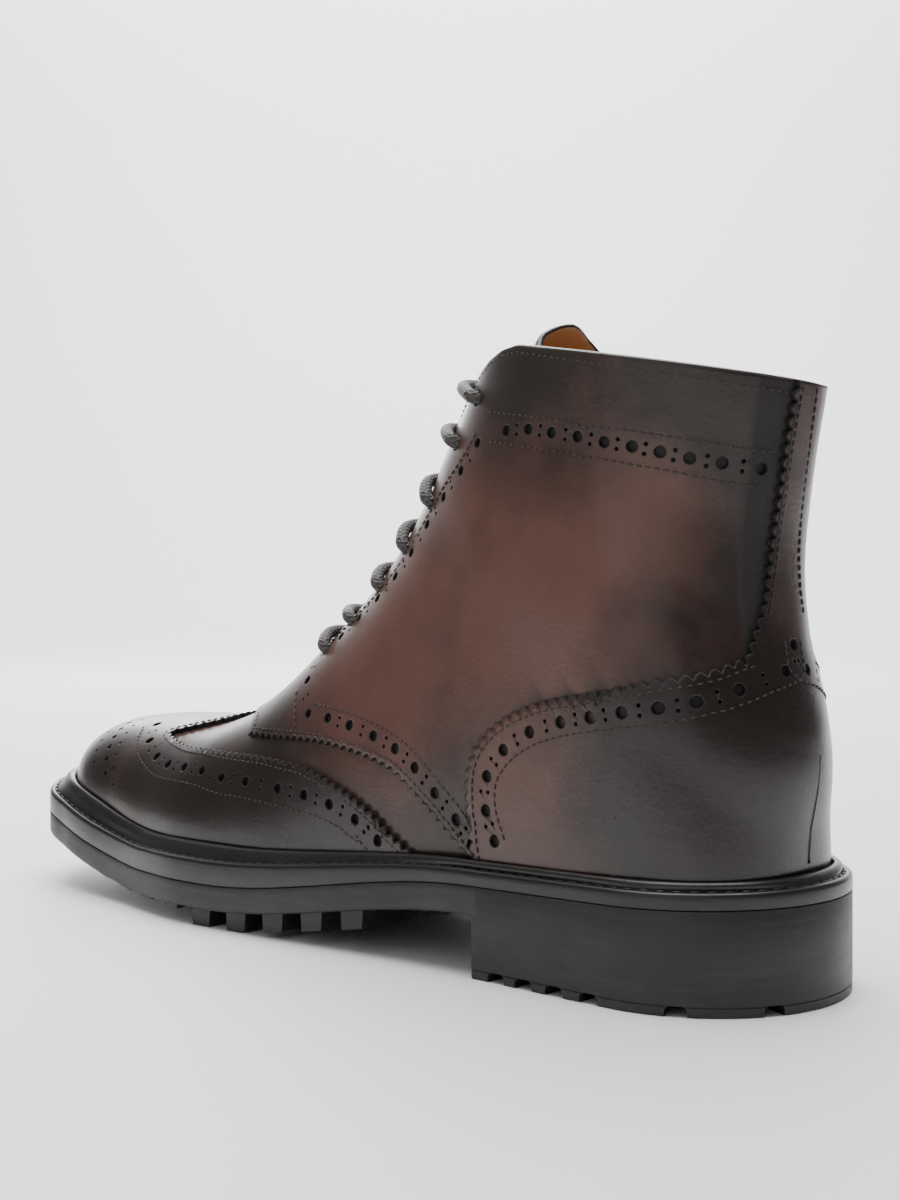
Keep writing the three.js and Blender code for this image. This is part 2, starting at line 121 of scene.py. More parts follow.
def through_rows(column, place):
    """A smooth curve through the rows of one column of a table."""
    last = len(column) - 2
    i = np.clip(np.floor(place).astype(int), 0, last)
    t = place - i
    b, c = column[i], column[i + 1]
    a = np.where(i > 0, column[np.maximum(i - 1, 0)], 2 * b - c)
    d = np.where(i < last, column[np.minimum(i + 2, last + 1)], 2 * c - b)
    slope_b, slope_c = (c - a) / 2, (d - b) / 2
    return (b * (2 * t**3 - 3 * t**2 + 1) + slope_b * (t**3 - 2 * t**2 + t)
            + c * (3 * t**2 - 2 * t**3) + slope_c * (t**3 - t**2))

def sole_edge(station, inset=0.0):
    """Centre line and half width of the sole at a station, in millimetres."""
    station = np.asarray(station, float)
    place = np.interp(station, sole_plan[:, 0], np.arange(len(sole_plan)))
    round_off = lambda far, reach, power: (1 - (1 - clamp01(far / reach)) ** power) ** (1 / power)
    ends = (round_off(station * sole_length - inset, heel_round, 2)
            * round_off((1 - station) * sole_length - inset, toe_round, toe_roundness))
    half = through_rows(sole_plan[:, 2], place) * ball_width - inset
    return through_rows(sole_plan[:, 1], place) * ball_width, half * ends

breast, waist_end, ball_end = heel_length / sole_length, 0.60, 0.70

def forefoot_share(station):
    return ease((station - breast) / (waist_end - breast))

def sole_bottom(station):
    waist = ease((waist_end - station) / (waist_end - breast))
    spring = ease(clamp01((station - ball_end) / (1 - ball_end)) ** 1.1)
    return lug_depth + (heel_height - lug_depth) * waist + toe_spring * spring

def outsole_top(station):
    return sole_bottom(station) + outsole_edge + heel_tilt * clamp01((breast - station) / breast)

def welt_top(station):
    thickening = (welt_edge_forefoot - welt_edge_heel) * forefoot_share(station)
    return outsole_top(station) + welt_edge_heel + thickening

def station_at(y):
    return 0.5 - y / sole_length

print("sole edge at the ball", sole_edge(0.7))

# %% The last's surface
ring_names = ("front", "front_rise", "back", "back_rise", "centre", "half", "widest",
              "front_curve", "back_curve")
ring_table = np.array([
    [0.955, 0.050, 0.955, 0.050, -0.030, 0.000, 0.50, 2.0, 2.0],
    [0.938, 0.118, 0.936, -0.035, -0.034, 0.210, 0.36, 2.1, 2.5],
    [0.884, 0.182, 0.878, -0.060, -0.044, 0.352, 0.34, 2.2, 3.0],
    [0.812, 0.230, 0.802, -0.060, -0.052, 0.400, 0.32, 2.2, 3.2],
    [0.750, 0.256, 0.734, -0.060, -0.036, 0.414, 0.30, 2.1, 3.2],
    [0.691, 0.278, 0.655, -0.060, -0.006, 0.408, 0.28, 2.0, 3.2],
    [0.622, 0.333, 0.555, -0.080, 0.018, 0.374, 0.28, 2.0, 3.0],
    [0.552, 0.440, 0.430, -0.110, 0.020, 0.342, 0.30, 2.1, 3.0],
    [0.466, 0.586, 0.250, -0.150, 0.011, 0.336, 0.32, 2.2, 3.0],
    [0.408, 0.732, 0.058, -0.160, 0.005, 0.338, 0.34, 2.4, 2.8],
    [0.381, 0.822, 0.028, 0.100, 0.003, 0.338, 0.32, 2.5, 2.2],
    [0.362, 0.882, 0.026, 0.240, 0.003, 0.332, 0.34, 2.5, 2.0],
    [0.349, 0.927, 0.043, 0.405, 0.003, 0.320, 0.38, 2.5, 2.0],
    [0.337, 0.968, 0.046, 0.560, 0.003, 0.314, 0.42, 2.5, 2.0],
    [0.325, 1.010, 0.038, 0.710, 0.003, 0.322, 0.44, 2.5, 2.0],
    [0.313, 1.052, 0.026, 0.870, 0.003, 0.334, 0.45, 2.5, 2.0],
    [0.300, 1.100, 0.020, 1.000, 0.003, 0.341, 0.45, 2.5, 2.0]])
last_ring = len(ring_table) - 1.0

def ring_frame(place):
    ring = {name: through_rows(ring_table[:, k], place) for k, name in enumerate(ring_names)}
    spot = lambda station, rise: (sole_length * (0.5 - station),
                                  welt_top(clamp01(station)) + rise * shaft_height)
    ring["fy"], ring["fz"] = spot(ring["front"], ring["front_rise"])
    ring["by"], ring["bz"] = spot(ring["back"], ring["back_rise"])
    return ring

def bare_surface(place, angle):
    ring = ring_frame(place)
    ahead, aside = np.cos(angle), np.sin(angle)
    curve = np.where(ahead >= 0, ring["front_curve"], ring["back_curve"])
    along = np.abs(ahead) ** (2 / curve)
    across = np.sign(aside) * np.abs(aside) ** (2 / curve)
    widest = ring["widest"]
    share = np.where(ahead >= 0, widest + (1 - widest) * along, widest * (1 - along))
    x = ring["centre"] * ball_width + np.maximum(ring["half"], 0) * ball_width * across + side_shift
    y = ring["by"] + (ring["fy"] - ring["by"]) * share
    z = ring["bz"] + (ring["fz"] - ring["bz"]) * share
    return np.stack([x, y, z], -1)

def unit(vectors):
    return vectors / np.maximum(np.linalg.norm(vectors, axis=-1, keepdims=True), 1e-9)

def outward(place, angle):
    """The direction straight out of the last."""
    p, e = np.clip(place, 0.05, last_ring - 0.05), 0.02
    along = bare_surface(p + e, angle) - bare_surface(p - e, angle)
    around = bare_surface(p, angle + e) - bare_surface(p, angle - e)
    return unit(np.cross(around, along))

def on_last(place, angle, level=0.0):
    """A point on the last, or a level in millimetres above it."""
    place, angle = np.asarray(place, float), np.asarray(angle, float)
    return bare_surface(place, angle) + outward(place, angle) * np.asarray(level)[..., None]

print("top of the instep at the ball", on_last(5.0, 0.0))

# %% [markdown]
# ## From a measured point to the last
# The pattern lines were measured on the boot's outer side, as millimetres along and up. Each
# point is matched with its place and angle on the last by a coarse search and a few Newton steps.
# %% Finding a point on the last
probe, newton_steps, wrong_side_penalty = 1e-3, 12, 1e3
coarse_p, coarse_a = [g.ravel() for g in np.meshgrid(np.arange(0.2, 15.9, 0.1),
                                                     np.radians(np.arange(0, 181, 3.0)))]
coarse_points = bare_surface(coarse_p, coarse_a)

def find(points, flat=False):
    """Place and angle nearest to measured points. Flat ones give only y and z."""
    weight = np.array([0.0 if flat else 1.0, 1.0, 1.0])
    penalty = (coarse_points[:, 0] < 0) * (wrong_side_penalty if flat else 0)
    found = []
    for point in points:
        target = np.array(([0.0] if flat else [point[0] + side_shift]) + list(point[-2:]))
        k = np.argmin((((coarse_points - target) * weight) ** 2).sum(1) + penalty)
        p, a = coarse_p[k], coarse_a[k]
        for _ in range(newton_steps):
            here = bare_surface(p, a)
            jac = np.stack([(bare_surface(p + probe, a) - here) / probe,
                            (bare_surface(p, a + probe) - here) / probe], -1)
            step = np.linalg.lstsq(jac * weight[:, None], (target - here) * weight, rcond=None)[0]
            p = float(np.clip(p + np.clip(step[0], -0.3, 0.3), 0.05, last_ring - 0.05))
            a = float(np.clip(a + np.clip(step[1], -0.1, 0.1), 0.0, math.pi))
        found.append((p, a))
    return np.array(found)

def through_all(points, fine):
    """A smooth curve through points, one column at a time."""
    return np.stack([through_rows(column, fine) for column in points.T], -1)

def find_curve(points, flat=True):
    """The same for a smooth curve of points, filled in between them first."""
    points = np.array(points, float)
    fine = np.linspace(0, len(points) - 1, (len(points) - 1) * 4 + 1)
    return find(through_all(points, fine), flat)

def run_along(points):
    """How far along its line each point lies."""
    return np.concatenate([[0.0], np.cumsum(np.linalg.norm(np.diff(points, axis=0), axis=1))])

def resampled(points, run, at):
    return np.stack([np.interp(at, run, column) for column in points.T], -1)

def lengths(path):
    return run_along(on_last(path[:, 0], path[:, 1]))

def smooth(path, pitch, corner=False):
    """A path resampled at an even pitch, through its points."""
    path = np.asarray(path, float)
    if not corner and len(path) > 2:
        path = through_all(path, np.linspace(0, len(path) - 1, (len(path) - 1) * 12 + 1))
    run = lengths(path)
    count = max(int(round(run[-1] / pitch)), 1)
    return resampled(path, run, np.linspace(0, run[-1], count + 1))

def nudge(path, offsets):
    """Each point of a path moved sideways on the last by millimetres, to the path's left."""
    p, a = path[:, 0], path[:, 1]
    run = unit(np.gradient(on_last(p, a), axis=0))
    return move(p, a, np.cross(outward(p, a), run) * np.asarray(offsets)[..., None])

def move(p, a, step):
    """Places and angles after a small step in millimetres, given as vectors."""
    here = bare_surface(p, a)
    sp = (bare_surface(p + probe, a) - here) / probe
    sa = (bare_surface(p, a + probe) - here) / probe
    pp, pa, aa = (sp * sp).sum(-1), (sp * sa).sum(-1), (sa * sa).sum(-1)
    bp, ba = (sp * step).sum(-1), (sa * step).sum(-1)
    det = np.maximum(pp * aa - pa * pa, 1e-9)
    return np.stack([p + (aa * bp - pa * ba) / det, a + (pp * ba - pa * bp) / det], -1)

def gimped(path, pitch=3.4, height=1.5):
    """A pinked edge: small rounded teeth along a path."""
    run = lengths(smooth(path, 1.0))[-1]
    teeth = max(int(round(run / pitch)), 1)
    fine = smooth(path, run / (teeth * 4))
    wave = np.array([-0.5, 0.25, 0.5, 0.25])[np.arange(len(fine)) % 4] * height
    return nudge(fine, wave)

print("collar corner", find([(73.7, 167.5)], flat=True))

# %% [markdown]
# ## Cutting leather
# A clicker cuts each piece flat, with its pinked edge, and punches its holes before it is pulled
# over the last. Here the flat pattern is a net of triangles that keeps every tooth and hole, and
# each corner of it is then laid on the last. Real holes catch the light as no painted dot does.
# %% The flat pattern
pattern_angle, pattern_turn = 1.35, 36.0
places = np.linspace(0, last_ring, 321)
pattern_run = run_along(bare_surface(places, np.full(321, pattern_angle)))
print("the flat pattern is", round(float(pattern_run[-1]), 1), "mm long")

def to_flat(path):
    return np.stack([np.interp(path[:, 0], places, pattern_run), path[:, 1] * pattern_turn], -1)

def from_flat(points):
    return np.stack([np.interp(points[:, 0], pattern_run, places), points[:, 1] / pattern_turn], -1)

def hole_ring(place, angle, radius, count):
    turn = np.linspace(0, 2 * math.pi, count, endpoint=False)
    p, a = np.full(count, place), np.full(count, angle)
    normal = outward(p, a)
    ahead = unit(np.cross(normal, np.array([0.0, 0.0, 1.0]) + 1e-6))
    across = np.cross(normal, ahead)
    step = ahead * (np.cos(turn) * radius)[:, None] + across * (np.sin(turn) * radius)[:, None]
    return move(p, a, step)

# Creases pressed into the ankle and the flex line, as y and z from end to end
creases = [((126, 106), (139, 100), 0.16, 1.1), ((125, 99), (139, 93), 0.18, 1.2),
           ((127, 93), (138, 88), 0.14, 1.0), ((-34, 66), (-12, 54), 0.16, 2.4),
           ((-27, 62), (-2, 50), 0.12, 2.2)]

def relief(points):
    """Small unevenness of pulled leather, in millimetres."""
    rise = np.array([noise.noise(Vector(p) * 0.04) * 0.3 + noise.noise(Vector(p) * 0.11) * 0.05
                     for p in points])
    aside = 1 - np.exp(-((np.abs(points[:, 0]) / 12) ** 2))
    for (y0, z0), (y1, z1), depth, width in creases:
        run = np.array([y1 - y0, z1 - z0])
        t = clamp01(((points[:, 1:] - [y0, z0]) @ run) / (run @ run))
        gap = np.linalg.norm(points[:, 1:] - ([y0, z0] + t[:, None] * run), axis=1)
        fade = np.sin(math.pi * clamp01(t * 0.96 + 0.02))
        rise = rise - depth * np.exp(-(gap / width) ** 2) * fade * aside
    return rise

def mesh_object(name, bm, slot, replaced=()):
    mesh = bpy.data.meshes.new(name)
    bm.to_mesh(mesh)
    bm.free()
    piece = linked(name, mesh)
    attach(piece, "root")
    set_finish(piece, slot)
    if replaced:
        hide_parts(*replaced)
    return piece

# %% The net of a pattern
bevel_width, wide_hole, hole_margin, hole_clear = 0.5, 0.8, 0.3, 1.6

def flat_net(outline, punches, grid):
    """Triangles that keep the outline and every hole: spots, faces, holes and edges."""
    paths = np.concatenate([to_flat(path) for path, _ in outline])
    edge_flags = np.concatenate([np.full(len(path), 1.0 if is_edge else 0.0) for path, is_edge in outline])
    keep = np.linalg.norm(paths - np.roll(paths, 1, axis=0), axis=1) > 0.05
    paths, edge_flags = paths[keep], edge_flags[keep]
    count = len(paths)
    area = (paths[:, 0] * np.roll(paths[:, 1], -1) - paths[:, 1] * np.roll(paths[:, 0], -1)).sum()
    run = unit(np.roll(paths, -1, axis=0) - np.roll(paths, 1, axis=0))
    bevel = paths + np.stack([-run[:, 1], run[:, 0]], -1) * (bevel_width * np.sign(area))
    gap = np.array([np.linalg.norm(paths - p, axis=1).min() for p in bevel])
    bevel = bevel[(edge_flags > 0) & (gap > 0.36)]
    flat, hole_of = [paths], [np.full(count, -1)]
    links = [(k, (k + 1) % count) for k in range(count)]
    total = count
    for index, (place, angle, radius) in enumerate(punches):
        sides = 14 if radius > wide_hole else 8
        for ring_radius, tag in ((radius, index), (radius + hole_margin, -1)):
            if tag >= 0:
                links += [(total + k, total + (k + 1) % sides) for k in range(sides)]
            flat.append(to_flat(hole_ring(place, angle, ring_radius, sides)))
            hole_of.append(np.full(sides, tag))
            total += sides
    flat.append(bevel)
    hole_of.append(np.full(len(bevel), -1))
    low, high = paths.min(0), paths.max(0)
    net = bmesh.new()
    steps = np.maximum(((high - low) / grid).astype(int), 2)
    bmesh.ops.create_grid(net, x_segments=int(steps[0]), y_segments=int(steps[1]), size=0.5)
    inner = np.array([v.co[:2] for v in net.verts]) * (high - low) + (high + low) / 2
    net.free()
    fixed = np.concatenate(flat)
    clear = np.ones(len(inner), bool)
    for k in range(0, len(fixed), 400):
        clear &= np.linalg.norm(inner[:, None] - fixed[None, k:k + 400], axis=2).min(1) > grid * 0.42
    inner = inner[clear]
    if len(punches):
        for centre in to_flat(np.array(punches)[:, :2]):
            inner = inner[np.linalg.norm(inner - centre, axis=1) > hole_clear]
    flat = np.concatenate([fixed, inner])
    hole_of = np.concatenate(hole_of + [np.full(len(inner), -1)])
    made = geometry.delaunay_2d_cdt([Vector(p) for p in flat], links, [list(range(count))], 1, 1e-5)
    origin = np.array([s[0] if s else -1 for s in made[3]])
    hole = np.where(origin >= 0, hole_of[origin], -1)
    edge = np.where((origin >= 0) & (origin < count), edge_flags[np.clip(origin, 0, count - 1)], 0.0)
    faces = [f for f in made[2] if not (hole[f[0]] >= 0 and hole[f[0]] == hole[f[1]] == hole[f[2]])]
    return from_flat(np.array([list(v) for v in made[0]])), faces, hole, edge

print("holes wider than", wide_hole, "mm in radius get 14 corners")

# %% Laying a pattern on the last
relief_step, edge_lean = 0.6, 0.75

def cut_leather(name, slot, outline, punches, top, depth, side=1, grid=3.0, inside=False, replaced=(),
                wavy=True, cover=None):
    """One piece of leather from its outline parts [(path, is an edge)], and punched holes."""
    spots, faces, hole, edge = flat_net(outline, punches, grid)
    spots[:, 1] *= side
    normal = outward(spots[:, 0], spots[:, 1])
    base = bare_surface(spots[:, 0], spots[:, 1])
    rise = relief(base) if wavy else np.zeros(len(base))
    facing = -1.0 if inside else 1.0
    upper_points = base + normal * (top + rise)[:, None]
    lower_points = upper_points - normal * depth * facing
    if wavy:
        axes = ([0.0, 0.3, 1.0], [0.0, 1.0, -0.3])
        shifted = [relief(base + unit(np.cross(normal, axis)) * relief_step) for axis in axes]
        for axis, far in zip(axes, shifted):
            normal = normal - unit(np.cross(normal, axis)) * ((far - rise) / relief_step)[:, None]
        normal = unit(normal)
    flip = (side > 0) != inside
    bm = bmesh.new()
    near = bm.verts.layers.float.new("near_edge")
    covered_shade_layer = bm.verts.layers.float.new("covered_painted_shade")
    # Where a piece lies under another one, its colour is painted near black: painted shade at the bottom of
    # the holes above it.
    covered_painted_shade = cover(spots[:, 0], np.abs(spots[:, 1])) if cover else np.zeros(len(spots))
    tops = [bm.verts.new(p * mm) for p in upper_points]
    bottoms = [bm.verts.new(p * mm) for p in lower_points]
    for k, (t, b) in enumerate(zip(tops, bottoms)):
        t[near] = max(edge[k], 1.0 if hole[k] >= 0 else 0.0)
        b[near] = 1.0
        t[covered_shade_layer] = float(covered_painted_shade[k])
    for f in faces:
        bm.faces.new([tops[k] for k in (f[::-1] if flip else f)])
    rims = [e for e in bm.edges if len(e.link_faces) == 1]
    top_count = len(bm.faces)
    index_of = {v: k for k, v in enumerate(tops)}
    tilt = np.zeros((len(tops), 3))
    walls = []
    for e in rims:
        loop = e.link_loops[0]
        one, two = index_of[loop.vert], index_of[loop.link_loop_next.vert]
        out = unit(np.cross(upper_points[two] - upper_points[one], normal[one] * facing))
        for end in (one, two):
            if hole[end] >= 0 or edge[end] > 0:
                tilt[end] += out
        walls.append((one, two))
    for one, two in walls:
        bm.faces.new([tops[two], tops[one], bottoms[one], bottoms[two]])
    for f in faces:
        bm.faces.new([bottoms[k] for k in (f if flip else f[::-1])])
    lean = unit(tilt) * (np.linalg.norm(tilt, axis=1) > 1e-6)[:, None]
    top_normals = unit(normal * facing + lean * edge_lean)
    loops = []
    bm.normal_update()
    for number, face in enumerate(bm.faces):
        for loop in face.loops:
            on_top = number < top_count
            loops.append(tuple(top_normals[index_of[loop.vert]]) if on_top else tuple(face.normal))
    piece = mesh_object(name, bm, slot, replaced)
    piece.data.normals_split_custom_set(loops)
    print(name, len(piece.data.polygons), "faces", len(punches), "holes")
    return piece

# The levels of the layers above the last, in millimetres
quarter_level, cap_level, counter_level, lining_level = 1.2, 1.6, 2.5, -2.2
print("layers lie at", quarter_level, cap_level, counter_level, "and", lining_level, "mm")

# %% [markdown]
# ## The pattern lines
# Every line below was measured on the boot: the pinked edges of the cap, quarter and counter,
# the rows of punched holes, and the edge of the collar. The inner side mirrors the outer side.
# %% Lines of the patterns
throat_place, throat_foot, throat_gap = 6.1, 13.0, 21.0

def throat_angle(place):
    share = clamp01((np.asarray(place, float) - throat_place) / (last_ring - throat_place))
    half = (throat_foot + (throat_gap - throat_foot) * share) / 2
    ring = ring_frame(np.asarray(place, float))
    return np.arcsin(clamp01(half / (ring["half"] * ball_width)) ** (ring["front_curve"] / 2))

collar_y = np.array([-60, 34, 40, 46, 54, 61, 67, 74, 81, 170.0])
collar_z = np.array([148.2, 148.2, 150.2, 153.8, 159.8, 164, 166.8, 168.6, 169, 152.2])

def solve(function, low, high):
    low, high = np.array(low, float), np.array(high, float)
    for _ in range(40):
        middle = (low + high) / 2
        above = function(middle) > 0
        high, low = np.where(above, middle, high), np.where(above, low, middle)
    return (low + high) / 2

def collar_place(angle):
    def over(place):
        point = bare_surface(place, angle)
        return point[..., 2] - np.interp(point[..., 1], collar_y, collar_z)
    return solve(over, np.full(np.shape(angle), 9.5), np.full(np.shape(angle), 15.95))

def bottom_angle(place, rise=1.0):
    """Where the leather goes down behind the welt's lip."""
    def under(angle):
        point = bare_surface(place, angle)
        return welt_top(station_at(point[..., 1])) + rise - point[..., 2]
    return solve(under, np.full(np.shape(place), 1.0), np.full(np.shape(place), math.pi))

def bottom_line(start, end, step=0.12):
    place = np.linspace(start, end, max(int(abs(end - start) / step), 2))
    return np.stack([place, bottom_angle(place)], -1)

def mirrored(path):
    return np.asarray(path)[::-1] * [1, -1]

low_back, low_front = 9.62, 0.55
pi = math.pi
corner_angle = float(solve(lambda a: throat_angle(collar_place(a)) - a, 0.6, 0.05))
corner_angle = float(np.mean([corner_angle, throat_angle(collar_place(np.array(corner_angle)))]))
collar_angles = np.concatenate([np.linspace(corner_angle, 1.2, 40), np.linspace(1.23, pi, 70)])
collar_path = np.stack([collar_place(collar_angles), collar_angles], -1)
throat_places = np.linspace(throat_place, collar_path[0, 0], 60)
throat_path = np.stack([throat_places, throat_angle(throat_places)], -1)
print("collar corner place", collar_path[0], "back place", collar_path[-1])

cap_table = [(0, 5.00), (12, 4.70), (22, 4.20), (30, 3.75), (34, 3.68), (38, 3.95), (42, 4.45), (47, 5.25),
             (54, 5.95), (60, 6.38), (66, 6.72), (72, 7.02), (82, 7.35), (92, 7.58), (98, 7.67)]
cap_found = np.array([(place, math.radians(angle)) for angle, place in cap_table])

def tell(name, found):
    print(name, np.round(np.column_stack([found[:, 0], np.degrees(found[:, 1])]), 2).tolist())

quarter_found = find_curve([(-31.7, 57.8), (-12.1, 58.4), (5.7, 58.4), (21.7, 56.6), (33.6, 54), (40.5, 51.1),
                            (52.4, 43.2), (60, 36.8), (66.5, 31.4), (69, 29.3)])
counter_found = find_curve([(70.2, 29.0), (69.3, 34), (67.4, 49.2), (68.7, 57.7), (73.7, 64.7), (82.4, 70.3),
                            (94.6, 74.6), (111, 77.4), (126.4, 80.6), (136.4, 82.8), (141.1, 86.0)])
stay_found = find([(11.0, 147, 99), (8.6, 146.5, 108), (6.9, 145, 119), (6.2, 146, 130), (6.0, 148, 142),
                   (5.6, 151, 154)])
tell("quarter edge", quarter_found)
tell("counter edge", counter_found)
tell("backstay edge", stay_found)

# %% Rows of holes
def spots(line, big, small, spread=1.25):
    """Holes at every fourth place of a found curve, with pinhole pairs midway between neighbours."""
    found, fine = line[::4], smooth(line, 1.0)
    run_all = lengths(fine)
    fine_points = on_last(fine[:, 0], fine[:, 1])
    at = np.array([run_all[np.argmin(((fine_points - on_last(p, a)) ** 2).sum(1))] for p, a in found])
    mid = (at[1:] + at[:-1]) / 2
    punches = [(p, a, big) for p, a in found]
    for offset in (-spread, spread):
        beside = resampled(nudge(fine, np.full(len(fine), offset)), run_all, mid)
        punches += [(p, a, small) for p, a in beside]
    return punches

cap_holes_found = find_curve([
    (14.3, -98.4, 54.8), (23.7, -89.8, 50.7), (29.2, -78.1, 46.8), (31.5, -68.4, 45), (32.7, -57.9, 44.9),
    (33.8, -47.2, 44.8), (35.1, -36.1, 43.9), (35.6, -23.9, 44), (36.2, -9.1, 43.4), (36.3, 2.7, 42.6),
    (36.4, 13.7, 40.9), (36.5, 24.4, 37.5), (36.3, 33.6, 32.1)], flat=False)
tell("cap holes", cap_holes_found)
facing_holes_found = find_curve([
    (63.5, 144.4), (56, 137.1), (47.4, 130.2), (39.3, 122.5), (32.7, 114.4), (25.7, 107.4), (17.4, 100.9),
    (8.7, 94.8), (0.6, 89.1), (-7.8, 83.7), (-9.1, 75.4), (-2.1, 66)])
band_holes_found = find_curve([
    (8, 65.3), (18.4, 63.9), (29.2, 61.6), (38.6, 58.6), (46.9, 53.9), (54.8, 47.6), (62.6, 41.2),
    (68.3, 34.6)])
counter_holes_found = find_curve([
    (77.6, 36.7), (74.5, 44.7), (74.8, 53.8), (80.5, 61.2), (89.5, 66.5), (99.9, 69.7), (109.3, 71.5),
    (118.8, 73.2), (127.6, 74.5), (134.9, 75.8), (141.2, 78.5), (145, 82.7), (146.1, 87.7)])
cuff_holes_found = find_curve([
    (76.5, 146.7), (85.3, 146.4), (93.7, 144.9), (102.4, 143.3), (110.8, 141.3), (118.3, 139.8),
    (125, 138.2), (131.3, 136.5), (137.3, 135.3), (143, 134)])
cuff_low = find([(70, 144.2), (77.8, 142.9), (95.7, 139.7), (106.9, 137.5), (119.5, 134.9), (130, 132.6),
                 (142.3, 129.8)], flat=True)
cuff_high = find([(69, 152.4), (77.6, 151), (99.3, 147.2), (116.1, 144.1), (133.3, 140.7), (144.4, 138.4)],
                 flat=True)
cap_holes = spots(cap_holes_found, 1.6, 0.55)
facing_holes = spots(facing_holes_found, 1.45, 0.5)
band_holes = spots(band_holes_found, 1.6, 0.55)
counter_holes = spots(counter_holes_found, 1.65, 0.55)
cuff_holes = spots(cuff_holes_found, 1.55, 0.55)

def ring_of_dots(place, angle, radius, count, size):
    return [(p, a, size) for p, a in hole_ring(place, angle, radius, count)]

# The medallion on the toe: a small flower of dots, and three rows that sweep down each side
medallion = [(1.75, 0.0, 1.3)] + ring_of_dots(1.75, 0.0, 3.4, 8, 0.6)
for degrees in np.arange(8, 72, 9):
    place = 1.95 + 0.8 * (degrees / 72) ** 1.3
    medallion += [(place, math.radians(degrees), 0.95), (place - 0.27, math.radians(degrees + 4.5), 0.6),
                  (place + 0.30, math.radians(degrees + 4.5), 0.6)]

def both_sides(punches):
    return punches + [(p, -a, r) for p, a, r in punches if abs(a) > 0.02]

print("holes on the cap", len(cap_holes), "and in the medallion", len(medallion))

# %% What lies under what
quarter_front = [(5.35, 0.0), (5.62, 0.24), (5.86, 0.45), (6.02, 0.63), quarter_found[0]]
quarter_front = smooth(np.array(quarter_front), 1.2)
quarter_line = np.concatenate([quarter_front[:-1], quarter_found])

def under_cap(place, angle):
    return place < np.interp(angle, cap_found[:, 1], cap_found[:, 0]) - 0.1

def under_quarter(place, angle):
    return place > np.interp(angle, quarter_line[:, 1], quarter_line[:, 0]) + 0.08

def under_counter(place, angle):
    def behind_line(line):
        return (place > line[0, 0]) & (angle > np.interp(place, line[:, 0], line[:, 1]) + 0.02)
    return behind_line(counter_found) | behind_line(stay_found)

print("the quarter's edge has", len(quarter_line), "measured places")

# %% [markdown]
# ## The vamp, with the backing behind every hole
# On the real boot the vamp runs under the cap and the quarters, and a thin backing shows at the
# bottom of every hole. One plain skin does both here, open at the throat and the collar. Under the
# cap and the quarters it is painted near black: painted shade at the bottom of the holes.
# %% Vamp
def around_to_throat(front, collar_drop):
    """The outline of a sheet that is open at the throat and the collar, both sides in one."""
    bottom = bottom_line(front, low_back)
    seam = np.stack([np.linspace(low_back, collar_path[-1, 0] - collar_drop, 20), np.full(20, pi)], -1)
    collar = collar_path[::-1] - [collar_drop, 0]
    half = [bottom, seam, collar, throat_path[::-1] + [0, 0.004]]
    front_angles = np.linspace(-bottom[0, 1], bottom[0, 1], 40)
    front_line = np.stack([np.full(40, front), front_angles], -1)
    return [(path, False) for path in [front_line] + half + [mirrored(path) for path in half[::-1]]]

# The vamp is painted near black under the cap and the quarters: painted shade seen through their holes.
cut_leather("vamp", "brown_leather", around_to_throat(3.0, 0.06), [], 0.0, 1.6, grid=3.0,
            cover=lambda place, angle: under_cap(place, angle) | under_quarter(place, angle))

# %% [markdown]
# ## The wing cap
# The cap is the showpiece: a W-shaped edge, pinked, with a row of punched holes inside it and a
# flower of holes on the toe. It wraps the toe and goes down behind the welt's lip.
# %% Wing cap
def bottom_from(start, end):
    """The line behind the welt's lip, eased into the edge that comes down to it."""
    bottom = bottom_line(start[0], end)
    bottom[:3, 1] = np.linspace(start[1], bottom[3, 1], 3)
    return bottom

tip_place = 0.03
cap_side = gimped(cap_found)
cap_bottom = bottom_from(cap_found[-1], low_front)
cap_nose = np.stack([np.linspace(low_front, tip_place, 8), np.full(8, pi)], -1)
cap_tip = np.stack([np.full(25, tip_place), np.linspace(pi, -pi, 25)], -1)
cap_outline = [(cap_side, True), (cap_bottom, False), (cap_nose, False), (cap_tip, False),
               (mirrored(cap_nose), False), (mirrored(cap_bottom), False), (mirrored(cap_side), True)]
cut_leather("wing_cap_dressed", "dark_leather", cap_outline, both_sides(cap_holes) + both_sides(medallion),
            cap_level, 1.5, grid=2.6, replaced=("wing_cap",))

# %% [markdown]
# ## The quarters
# Each quarter runs from the vamp to the back seam, and carries the eyelet facing and the cuff,
# which are only marked on it by stitches and punched rows. The two quarters join below the throat.
# %% Quarters
quarter_side = gimped(quarter_found)
quarter_bottom = bottom_from(quarter_found[-1], low_back)
back_seam = np.stack([np.linspace(low_back, collar_path[-1, 0], 24), np.full(24, pi)], -1)
throat_end = np.stack([np.full(8, throat_place), np.linspace(throat_path[0, 1], 0.0, 8)], -1)
front_seam = np.stack([np.linspace(throat_place, 5.35, 6), np.zeros(6)], -1)
eyelet_table = [(7.26, 28), (7.62, 26), (8.04, 25), (8.55, 26), (9.22, 27), (10.65, 32), (12.40, 42)]
eyelet_radius = 2.3
eyelet_holes = [(place, math.radians(angle), eyelet_radius) for place, angle in eyelet_table]
quarter_outline = [(quarter_front, True), (quarter_side, True), (quarter_bottom, False), (back_seam, False),
                   (collar_path[::-1], True), (throat_path[::-1], True), (throat_end, True),
                   (front_seam, False)]
quarter_holes = facing_holes + band_holes + cuff_holes + eyelet_holes
for side, word, replaced in ((1, "outer", ("upper",)), (-1, "inner", ())):
    cut_leather("quarter_" + word, "brown_leather", quarter_outline, quarter_holes, quarter_level, 1.15,
                side=side, grid=3.0, cover=under_counter, replaced=replaced)

